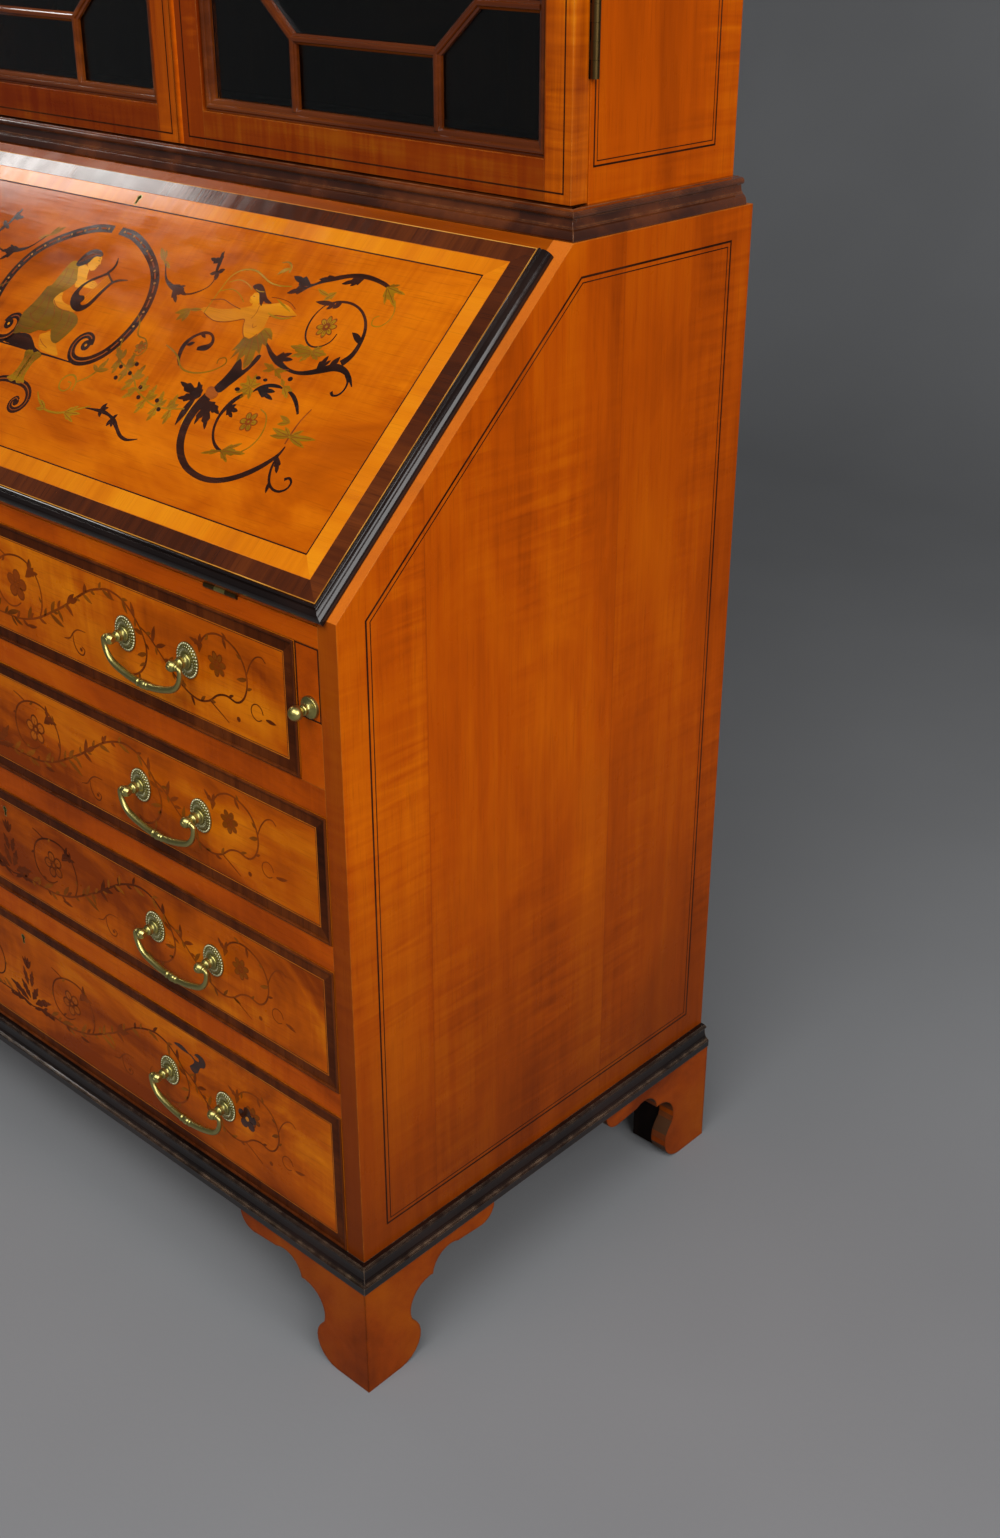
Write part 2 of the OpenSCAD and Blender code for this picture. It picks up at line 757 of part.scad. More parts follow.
module loper_knob_right() {
    color(brass) cabinet() translate([loper_x + loper_w - loper_plate_r - 2, 0, loper_z + loper_knob_z])
        rotate([90, 0, 0]) {
            cylinder(r = loper_plate_r, h = loper_plate_t);
            cylinder(r = loper_knob_r / 2, h = loper_knob_y);
            translate([0, 0, loper_knob_y]) sphere(r = loper_knob_r);
        }
}

module loper_knob_left() {
    mirror([1, 0, 0]) loper_knob_right();
}

// Long drawers, counted from the top

function drawer_half(n) = n == 1 ? top_drawer_half : inner_half - drawer_gap;
function box_half(n) = n == 1 ? partition_x - slide_gap : inner_half - drawer_gap;
function front_z(n) = openings_z[n - 1] + drawer_gap;
function front_h(n) = openings_h[n - 1] - 2 * drawer_gap;
function post_z(n) = front_z(n) + front_h(n) / 2 + handle_lift;

module at_posts(n) {
    for (side = [-1, 1]) for (end = [-1, 1])
        translate([side * handle_x + end * handle_pitch / 2, 0, post_z(n)]) children();
}

module drawer_front(n) {
    top = front_z(n) + front_h(n);
    color(satinwood) cabinet() difference() {
        block([-drawer_half(n), drawer_half(n)], [0, front_t], [front_z(n), top]);
        at_posts(n) translate([0, -through, 0]) rotate([-90, 0, 0])
            cylinder(r = bolt_r + glue, h = front_t + 2 * through);
        block([-lock_w / 2 - glue, lock_w / 2 + glue], [front_t - lock_t, front_t + through],
            [top - lock_h - glue, top + through]);
        translate([0, front_t, top - keyhole_drop]) rotate([90, 0, 0])
            linear_extrude(front_t + through) keyhole(1);
    }
}

module drawer_box(n) {
    bottom = front_z(n);
    top = bottom + front_h(n) - side_drop;
    floor_top = bottom + drawer_bottom_lift + drawer_bottom_t;
    half = box_half(n);
    inside = half - drawer_side_t - glue;
    color(oak) cabinet() {
        both_sides()
            block([half - drawer_side_t, half], [front_t, drawer_len], [bottom, top]);
        block([-inside, inside], [drawer_len - drawer_side_t, drawer_len], [floor_top + glue, top]);
        block([-inside, inside], [front_t, drawer_len], [bottom + drawer_bottom_lift, floor_top]);
    }
}

// An oval plate of the given share of the rosette's size
module oval(share, thickness) {
    rotate([90, 0, 0]) linear_extrude(thickness)
        polygon([for (a = [0:12:348]) share / 2 * [rosette_w * cos(a), rosette_h * sin(a)]]);
}

// Rosettes, posts, bolts and nuts of both handles, and the lock
module drawer_brass(n) {
    top = front_z(n) + front_h(n);
    color(brass) cabinet() {
        for (side = [-1, 1]) for (end = [-1, 1])
            translate([side * handle_x + end * handle_pitch / 2, 0, post_z(n)]) difference() {
                union() {
                    oval(1, rosette_t / 2);
                    oval(0.76, rosette_t);
                    rotate([90, 0, 0]) cylinder(r = shank_r, h = ball_y);
                    translate([0, -ball_y / 2, 0]) rotate([90, 0, 0])
                        cylinder(r = ball_r, h = post_ring_t, center = true);
                    translate([0, -ball_y, 0]) intersection() {
                        rotate([90, 0, 0]) rotate(45) sphere(r = ball_r);
                        cube([2 * (ball_r - ball_flat), 2 * ball_r + through, 2 * ball_r + through], center = true);
                    }
                    rotate([-90, 0, 0]) cylinder(r = bolt_r, h = front_t + nut_t + through);
                    translate([0, front_t, 0]) rotate([-90, 0, 0]) cylinder(r = nut_r, h = nut_t, $fn = 6);
                }
                translate([0, -ball_y, 0]) rotate([0, 90 * end, 0])
                    cylinder(r = bail_pin_r + pin_gap, h = ball_r + through);
            }
        block([-lock_w / 2, lock_w / 2], [front_t - lock_t + glue, front_t], [top - lock_h, top]);
        translate([0, front_t - lock_t, top - keyhole_drop]) rotate([90, 0, 0])
            linear_extrude(front_t - lock_t) keyhole_liner();
    }
}

// A wire along the given stations, with flat sides and ends
module sweep(path) {
    m = wire_sides;
    n = len(path);
    points = [for (p = path) for (k = [0:m - 1]) let (a = 360 * k / m, out = p[3] * cos(a))
        [p[0] - out * sin(p[2]), p[3] * sin(a), p[1] + out * cos(p[2])]];
    polyhedron(points, concat(
        [[for (k = [m - 1:-1:0]) k]],
        [for (i = [0:n - 2]) for (k = [0:m - 1]) each [
            [i * m + k, (i + 1) * m + (k + 1) % m, (i + 1) * m + k],
            [i * m + k, i * m + (k + 1) % m, (i + 1) * m + (k + 1) % m]]],
        [[for (k = [0:m - 1]) (n - 1) * m + k]]));
}

// A bail hangs from its two pins, with a ring at the middle of its grip
module bail(n, side) {
    color(brass) cabinet() translate([side * handle_x, -ball_y, post_z(n)]) {
        sweep(concat(bail_side, mirrored(bail_side)));
        both_sides() translate([handle_pitch / 2 + pin_gap, 0, 0]) rotate([0, 90, 0])
            cylinder(r = bail_pin_r, h = elbow_x - handle_pitch / 2 - pin_gap);
    }
}

// Bookcase carcase

module waist_moulding() {
    fillet_h = 3;
    nose_r = 3.6;
    nose_out = waist_out - 6;
    profile = concat(
        [[door_y - carcase_front, 0], [waist_out, 0], [waist_out, fillet_h]],
        cove(waist_out - 1, fillet_h + 1, nose_out, waist_h - 2 * nose_r - 1),
        arc(nose_out, waist_h - nose_r - 0.5, nose_r, -90, 90),
        [[nose_out - 1, waist_h], [door_y - carcase_front, waist_h]]);
    color(rosewood) cabinet() translate([0, 0, body_top_z])
        moulding_frame(profile, book_half, door_y, book_back_y, waist_out, carcase_front - door_y, waist_h);
}

module bookcase_sides() {
    color(satinwood) cabinet() both_sides() difference() {
        block([book_inner, book_half], [carcase_front, book_back_y], [body_top_z, cap_z]);
        for (z = door_hinges_z())
            block([book_half - door_leaf_w - glue, book_half + through],
                [carcase_front - through, carcase_front + door_leaf_t + glue],
                [z - glue, z + door_hinge_len + glue]);
    }
}

module bookcase_boards() {
    color(oak) cabinet()
        for (z = [book_floor_z - book_board_t, book_ceiling_z])
            block([-book_inner, book_inner], [carcase_front, book_back_y - book_back_t], [z, z + book_board_t]);
}

module bookcase_back() {
    boards = 4;
    board_w = 2 * book_inner / boards;
    color(oak) cabinet()
        for (i = [0:boards - 1])
            block([i * board_w - book_inner, (i + 1) * board_w - book_inner - glue],
                [book_back_y - book_back_t, book_back_y], [body_top_z, cap_z]);
}

function shelf_z(i) = book_floor_z + i * shelf_pitch - shelf_t / 2;

module shelf_bearers() {
    color(oak) cabinet() both_sides() for (i = [1:shelf_count])
        block([book_inner - bearer_w, book_inner], [carcase_front + shelf_set, book_back_y - book_back_t],
            [shelf_z(i) - bearer_h, shelf_z(i)]);
}

module shelves() {
    color(satinwood) cabinet() for (i = [1:shelf_count])
        block([slide_gap - book_inner, book_inner - slide_gap],
            [carcase_front + shelf_set, book_back_y - book_back_t - slide_gap],
            [shelf_z(i), shelf_z(i) + shelf_t]);
}

// The frieze board closes the front above the doors
module frieze() {
    color(satinwood) cabinet()
        block([-book_half, book_half], [door_y, carcase_front], [frieze_z, cap_z]);
}

// A bead, a hollow, a fillet and a quarter round, with a flat top that laps the frieze
module cornice() {
    bead_out = 5;
    bead_h = 4;
    round_r = 8;
    fillet_h = 6;
    cove_in = bead_out + 2;
    cove_out = cornice_out - round_r - 3;
    cove_z = bead_h + 1;
    cove_top = cornice_h - 2 * round_r - fillet_h;
    fillet_out = cove_out + 2;
    back = door_y - carcase_front;
    profile = concat(
        [[0, 0], [bead_out, 0], [bead_out, bead_h]],
        [for (i = [0:8]) let (a = 90 * i / 8)
            [cove_in + (cove_out - cove_in) * (1 - cos(a)), cove_z + (cove_top - cove_z) * sin(a)]],
        [[fillet_out, cove_top], [fillet_out, cove_top + fillet_h]],
        arc(cornice_out - round_r, cove_top + fillet_h + round_r, round_r, -90, 0),
        [[cornice_out, cornice_h], [back, cornice_h], [back, cornice_h - cap_t], [0, cornice_h - cap_t]]);
    color(ebonised) cabinet() translate([0, 0, total_h - cornice_h])
        moulding_frame(profile, book_half, door_y, book_back_y, cornice_out, -back, cornice_h);
    color(oak) cabinet()
        block([glue - book_half, book_half - glue], [carcase_front + glue, book_back_y],
            [cap_z, cap_z + dust_board_t]);
}

// Glazed doors

function door_hinges_z() = [door_z + door_hinge_end, door_z + door_h - door_hinge_end - door_hinge_len];

module door_knuckle(z, i) {
    step = door_hinge_len / knuckles;
    translate([door_hinge_x, door_hinge_y, z + i * step + glue])
        cylinder(r = door_knuckle_r, h = step - 2 * glue);
}

// A leaf that lies from y to y + its thickness, joined to the listed knuckles
module door_leaf(z, y, tongues) {
    step = door_hinge_len / knuckles;
    edge = book_half - slide_gap;
    block([book_half - door_leaf_w, edge], [y, y + door_leaf_t], [z, z + door_hinge_len]);
    for (i = tongues)
        block([edge - through, door_hinge_x - door_pin_r - glue], [y, y + door_leaf_t],
            [z + i * step + glue, z + (i + 1) * step - glue]);
}

// Glass area of a door, its X counted from the middle of the case
function glass_x(extra) = [meeting_gap + stile_w + glazing_w + extra, door_edge - stile_w - glazing_w];
function glass_z() = let (margin = stile_w + rail_extra + glazing_w)
    [door_z + margin, door_z + door_h - margin];

// Height of the right door's keyhole, and the span of its lock, half_h above and below it
door_key_z = door_z + door_h / 2;
function door_lock_z(half_h) = [door_key_z - half_h, door_key_z + half_h];

// Stiles and rails of the right-hand door, or of the left one when mirrored
module door_frame(extra) {
    inner_x = glass_x(extra) + [-glazing_w, glazing_w];
    inner_z = glass_z() + [-glazing_w, glazing_w];
    color(satinwood) cabinet() difference() {
        union() {
            block([meeting_gap, inner_x[0]], [door_y, door_y + door_t], [door_z, door_z + door_h]);
            block([inner_x[1], door_edge], [door_y, door_y + door_t], [door_z, door_z + door_h]);
            for (z = [[door_z, inner_z[0]], [inner_z[1], door_z + door_h]])
                block(inner_x + [glue, -glue], [door_y, door_y + door_t], z);
        }
        for (z = door_hinges_z())
            block([book_half - door_leaf_w - glue, book_half + through],
                [door_y + door_t - door_leaf_t - glue, door_y + door_t + through],
                [z - glue, z + door_hinge_len + glue]);
        if (extra > 0) {
            translate([meeting_gap + stile_w / 2, door_y + door_t, door_key_z])
                rotate([90, 0, 0]) linear_extrude(door_t + through) keyhole(1);
            block([meeting_gap - through, meeting_gap + stile_w + glue],
                [door_y + door_t - lock_t, door_y + door_t + through],
                door_lock_z(lock_h + glue));
        }
    }
}

// A straight bar in the plane of the glass
module bar_line(a, b, width) {
    length = norm(b - a);
    translate(a) rotate(atan2(b[1] - a[1], b[0] - a[0])) translate([-width / 2, -width / 2])
        square([length + width, width]);
}

// The bar pattern over a glass area of the given size, drawn from its bottom corner
module bar_pattern(size, width) {
    mid = size[0] / 2;
    for (top = [false, true])
        translate([0, top ? size[1] : 0]) mirror([0, top ? 1 : 0]) {
            bar_line([mid - bar_near, bar_low], [mid + bar_near, bar_low], width);
            for (dir = [-1, 1]) {
                bar_line([mid + dir * bar_near, 0], [mid + dir * bar_near, bar_low], width);
                bar_line([mid + dir * bar_near, bar_low], [mid + dir * bar_far, bar_high], width);
                bar_line([mid + dir * bar_far, bar_high], [mid + dir * mid, bar_high], width);
                bar_line([mid + dir * bar_far, bar_high], [mid + dir * bar_far, size[1] / 2], width);
                bar_line([mid + dir * bar_far, size[1] / 2], [mid + dir * mid, size[1] / 2], width);
            }
        }
}

// Glazing bars and the moulding that frames the glass
module door_bars(extra) {
    gx = glass_x(extra);
    gz = glass_z();
    size = [gx[1] - gx[0], gz[1] - gz[0]];
    face = door_y + bar_set;
    color(rosewood) cabinet() translate([gx[0], face + bar_d, gz[0]]) rotate([90, 0, 0]) {
        linear_extrude(bar_d) intersection() {
            bar_pattern(size, bar_w);
            square(size);
        }
        translate([0, 0, -glass_t - bead_t]) linear_extrude(bar_d + glass_t + bead_t) difference() {
            translate([glue - glazing_w, glue - glazing_w])
                square(size + 2 * (glazing_w - glue) * [1, 1]);
            square(size);
        }
    }
}

// The sheet of glass behind the bars
module door_glass(extra) {
    gx = glass_x(extra);
    gz = glass_z();
    back = door_y + bar_set + bar_d;
    color("black") cabinet()
        block(gx + [glue, -glue], [back, back + glass_t], gz + [glue, -glue]);
}

// Moving hinge leaves, and the lock on the door that has one
module door_brass(extra) {
    color(brass) cabinet() {
        for (z = door_hinges_z()) difference() {
            union() {
                for (i = [1, 3]) door_knuckle(z, i);
                door_leaf(z, door_y + door_t - door_leaf_t, [1, 3]);
                door_knuckle_webs(z);
            }
            translate([door_hinge_x, door_hinge_y, z - through])
                cylinder(r = door_pin_r + pin_gap, h = door_hinge_len + 2 * through);
        }
        if (extra > 0) {
            translate([meeting_gap + stile_w / 2, door_y + door_t - lock_t, door_key_z]) rotate([90, 0, 0])
                linear_extrude(door_t - lock_t) keyhole_liner();
            block([meeting_gap, meeting_gap + stile_w],
                [door_y + door_t - lock_t + glue, door_y + door_t],
                door_lock_z(lock_h));
        }
    }
}

// Webs that join a moving leaf to its knuckles
module door_knuckle_webs(z) {
    step = door_hinge_len / knuckles;
    for (i = [1, 3])
        block([door_hinge_x - door_knuckle_r, door_hinge_x - door_pin_r - glue],
            [door_y + door_t - door_leaf_t, door_hinge_y],
            [z + i * step + glue, z + (i + 1) * step - glue]);
}

bureau_sides();
bureau_top();
writing_bed();
bottom_board();
bureau_back();
drawer_rails();
drawer_runners();
loper_partitions();
loper_bearers();
base_moulding();
bracket_feet();
foot_blocks();
pigeonholes();
waist_moulding();
bookcase_sides();
bookcase_boards();
bookcase_back();
shelf_bearers();
shelves();
frieze();
cornice();
fixed_hinge_leaves();
fall_board();
fall_lip();
fall_brass();
loper_left();
loper_right();
loper_knob_left();
loper_knob_right();
mirror([1, 0, 0]) door_frame(0);  // door_left_frame
mirror([1, 0, 0]) door_bars(0);  // door_left_bars
mirror([1, 0, 0]) door_glass(0);  // door_left_glass
mirror([1, 0, 0]) door_brass(0);  // door_left_brass
door_frame(meeting_extra);  // door_right_frame
door_bars(meeting_extra);  // door_right_bars
door_glass(meeting_extra);  // door_right_glass
door_brass(meeting_extra);  // door_right_brass
drawer_front(1);  // drawer_1_front
drawer_box(1);  // drawer_1_box
drawer_brass(1);  // drawer_1_brass
drawer_front(2);  // drawer_2_front
drawer_box(2);  // drawer_2_box
drawer_brass(2);  // drawer_2_brass
drawer_front(3);  // drawer_3_front
drawer_box(3);  // drawer_3_box
drawer_brass(3);  // drawer_3_brass
drawer_front(4);  // drawer_4_front
drawer_box(4);  // drawer_4_box
drawer_brass(4);  // drawer_4_brass
bail(1, -1);  // bail_1_left
bail(1, 1);  // bail_1_right
bail(2, -1);  // bail_2_left
bail(2, 1);  // bail_2_right
bail(3, -1);  // bail_3_left
bail(3, 1);  // bail_3_right
bail(4, -1);  // bail_4_left
bail(4, 1);  // bail_4_right
nest_drawer_left();
nest_drawer_middle();
nest_drawer_right();
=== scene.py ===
# Bureau bookcase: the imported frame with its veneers, inlay, handles and glass.
import math
import random

import bmesh
import bpy
from mathutils import Matrix, Vector
from mathutils.geometry import tessellate_polygon


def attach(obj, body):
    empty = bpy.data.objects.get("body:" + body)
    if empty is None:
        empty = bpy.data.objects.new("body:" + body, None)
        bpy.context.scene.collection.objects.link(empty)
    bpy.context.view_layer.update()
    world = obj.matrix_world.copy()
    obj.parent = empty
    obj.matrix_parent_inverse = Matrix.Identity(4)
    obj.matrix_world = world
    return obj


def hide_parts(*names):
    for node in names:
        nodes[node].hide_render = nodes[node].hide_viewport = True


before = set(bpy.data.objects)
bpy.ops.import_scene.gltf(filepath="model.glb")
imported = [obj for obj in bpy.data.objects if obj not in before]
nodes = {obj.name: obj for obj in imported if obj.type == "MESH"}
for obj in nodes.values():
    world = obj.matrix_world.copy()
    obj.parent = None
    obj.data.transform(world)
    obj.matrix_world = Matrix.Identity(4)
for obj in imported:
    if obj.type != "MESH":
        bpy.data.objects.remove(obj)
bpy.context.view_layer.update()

# Sizes of the frame in millimetres, in the cabinet's coordinates: Y = 0 at the drawer fronts
MM = 0.001
FRONT_Y = -229.5
BED_Z = 722.5
SLOPE = math.atan2(228, 252)
FALL_TOP = 14.0
FALL_HALF = 472.5
FALL_LEN = 330.37
LIP_Z = 6.07
FALL_KEY_V = 308.37
KEY_R = 2.2
HALF_W = 482.0
BODY_D = 480.0
DOOR_Y = 268.0
DOOR_HALF = 465.0
DOOR_Z = (981.0, 2041.0)
GLASS_Z = (1023.0, 1999.0)
BOOK_HALF = 466.0
BASE_Z = 114.0
WAIST_Z = 958.0
WAIST_BACK = 472.0
HANDLE_X = 267.0
HANDLE_UP = 3.0
PITCH = 80.0
BALL_Y = 16.0
LOPER_X = (436.0, 461.7)
LOPER_Z = (645.2, 705.2)
SIDES = ((-1, "left"), (1, "right"))
# How deep the inlaid plates go into the surface
SUNK = 0.4
# Each long drawer's front: bottom, top and half width
FRONTS = {1: (591.3, 704.7, 434.9), 2: (451.8, 565.7, 461.2), 3: (307.8, 426.2, 461.2),
    4: (139.3, 282.2, 461.2)}


def cab(x, y, z):
    return Vector((x, y + FRONT_Y, z)) * MM


def on_fall(x, v, h):
    """A point of the fall: x across, v up the slope from the hinge line, h above its inner face."""
    return cab(x, v * math.cos(SLOPE) - h * math.sin(SLOPE), BED_Z + v * math.sin(SLOPE)
        + h * math.cos(SLOPE))


def on_front(x, z, h):
    return cab(x, -h, z)


def on_door(x, z, h):
    return cab(x, DOOR_Y - h, z)


def on_side(side, half):
    return lambda y, z, h: cab(side * (half + h), y, z)


# Materials


def srgb(r, g, b):
    """A colour given as it looks on a screen, 0 to 255."""
    linear = [v / 3294.6 if v <= 10.3 else ((v / 255 + 0.055) / 1.055) ** 2.4 for v in (r, g, b)]
    return (*linear, 1.0)


class Graph:
    """A node material under construction."""

    def __init__(self, name):
        self.material = bpy.data.materials.new(name)
        self.material.use_nodes = True
        self.tree = self.material.node_tree
        self.tree.nodes.clear()
        self.out = self.node("ShaderNodeOutputMaterial")
        self.shader = self.node("ShaderNodeBsdfPrincipled")
        self.tree.links.new(self.shader.outputs[0], self.out.inputs["Surface"])
        self.place = self.node("ShaderNodeTexCoord").outputs["Object"]

    def node(self, kind, **settings):
        made = self.tree.nodes.new(kind)
        for key, value in settings.items():
            setattr(made, key, value)
        return made

    def put(self, socket, value):
        if isinstance(value, bpy.types.NodeSocket):
            self.tree.links.new(value, socket)
        else:
            socket.default_value = value

    def set(self, **values):
        for key, value in values.items():
            self.put(self.shader.inputs[key.replace("_", " ")], value)

    def sum(self, op, a, b=0.0, clamp=False):
        made = self.node("ShaderNodeMath", operation=op, use_clamp=clamp)
        self.put(made.inputs[0], a)
        self.put(made.inputs[1], b)
        return made.outputs[0]

    def add(self, a, b):
        return self.sum("ADD", a, b)

    def times(self, a, b):
        return self.sum("MULTIPLY", a, b)

    def swing(self, value, size):
        """How far a noise is from its middle, times a size."""
        return self.times(self.sum("SUBTRACT", value, 0.5), size)

    def parts(self, vector):
        made = self.node("ShaderNodeSeparateXYZ")
        self.put(made.inputs[0], vector)
        return made.outputs

    def vector(self, x, y, z):
        made = self.node("ShaderNodeCombineXYZ")
        for socket, value in zip(made.inputs, (x, y, z)):
            self.put(socket, value)
        return made.outputs[0]

    def normal(self):
        """The three parts of the face's own normal."""
        return self.parts(self.node("ShaderNodeNewGeometry").outputs["True Normal"])

    def noise(self, vector, scale, detail=3.0, rough=0.55, bend=0.0, shift=0.0):
        """Noise with a scale per axis, in features per metre."""
        mapped = self.node("ShaderNodeMapping")
        self.put(mapped.inputs["Vector"], vector)
        mapped.inputs["Location"].default_value = (shift * 1.7, shift * 3.1, shift * 5.3)
        mapped.inputs["Scale"].default_value = scale
        made = self.node("ShaderNodeTexNoise")
        self.put(made.inputs["Vector"], mapped.outputs[0])
        made.inputs["Scale"].default_value = 1.0
        made.inputs["Detail"].default_value = detail
        made.inputs["Roughness"].default_value = rough
        made.inputs["Distortion"].default_value = bend
        return made.outputs["Fac"]

    def span(self, value, low, high, to_low=0.0, to_high=1.0):
        made = self.node("ShaderNodeMapRange")
        for socket, v in zip(made.inputs, (value, low, high, to_low, to_high)):
            self.put(socket, v)
        return made.outputs[0]

    def ramp(self, value, *stops):
        made = self.node("ShaderNodeValToRGB")
        band = made.color_ramp
        while len(band.elements) < len(stops):
            band.elements.new(0.5)
        for element, (position, colour) in zip(band.elements, stops):
            element.position, element.color = position, colour
        self.put(made.inputs[0], value)
        return made.outputs[0]

    def mix(self, share, a, b, blend="MIX"):
        made = self.node("ShaderNodeMix", data_type="RGBA", blend_type=blend)
        self.put(made.inputs[0], share)
        self.put(made.inputs[6], a)
        self.put(made.inputs[7], b)
        return made.outputs[2]

    def bump(self, height, depth, strength=1.0, soft=0.0):
        made = self.node("ShaderNodeBump")
        made.inputs["Strength"].default_value = strength
        made.inputs["Distance"].default_value = depth
        self.put(made.inputs["Height"], height)
        if soft:
            bevel = self.node("ShaderNodeBevel", samples=3)
            bevel.inputs["Radius"].default_value = soft
            self.put(made.inputs["Normal"], bevel.outputs[0])
        self.set(Normal=made.outputs[0])

    def edges(self, radius):
        """1 on convex and concave edges, 0 on flat ground."""
        bevel = self.node("ShaderNodeBevel", samples=3)
        bevel.inputs["Radius"].default_value = radius
        dot = self.node("ShaderNodeVectorMath", operation="DOT_PRODUCT")
        self.put(dot.inputs[0], bevel.outputs[0])
        self.put(dot.inputs[1], self.node("ShaderNodeNewGeometry").outputs["True Normal"])
        return self.span(dot.outputs["Value"], 0.985, 0.86)

    def along(self, grain):
        """Coordinates turned so that the first runs along the grain."""
        x, y, z = self.parts(self.place)
        turned = {"x": (x, z, y), "y": (y, z, x), "z": (z, x, y)}
        if grain in turned:
            return self.vector(*turned[grain])
        if grain == "round":
            return self.vector(self.add(x, y), z, self.sum("SUBTRACT", x, y))
        if grain == "slope":
            c, s = math.cos(SLOPE), math.sin(SLOPE)
            up = self.add(self.times(y, c), self.times(z, s))
            out = self.sum("SUBTRACT", self.times(z, c), self.times(y, s))
            return self.vector(up, x, out)
        # A door: its rails' grain lies along X between the stiles, which are given
        low, high = grain
        self.rail = self.times(self.sum("GREATER_THAN", x, low * MM),
            self.sum("LESS_THAN", x, high * MM))
        made = self.node("ShaderNodeMix", data_type="VECTOR")
        for k, value in ((0, self.rail), (4, self.vector(z, x, y)), (5, self.vector(x, z, y))):
            self.put(made.inputs[k], value)
        return made.outputs[1]


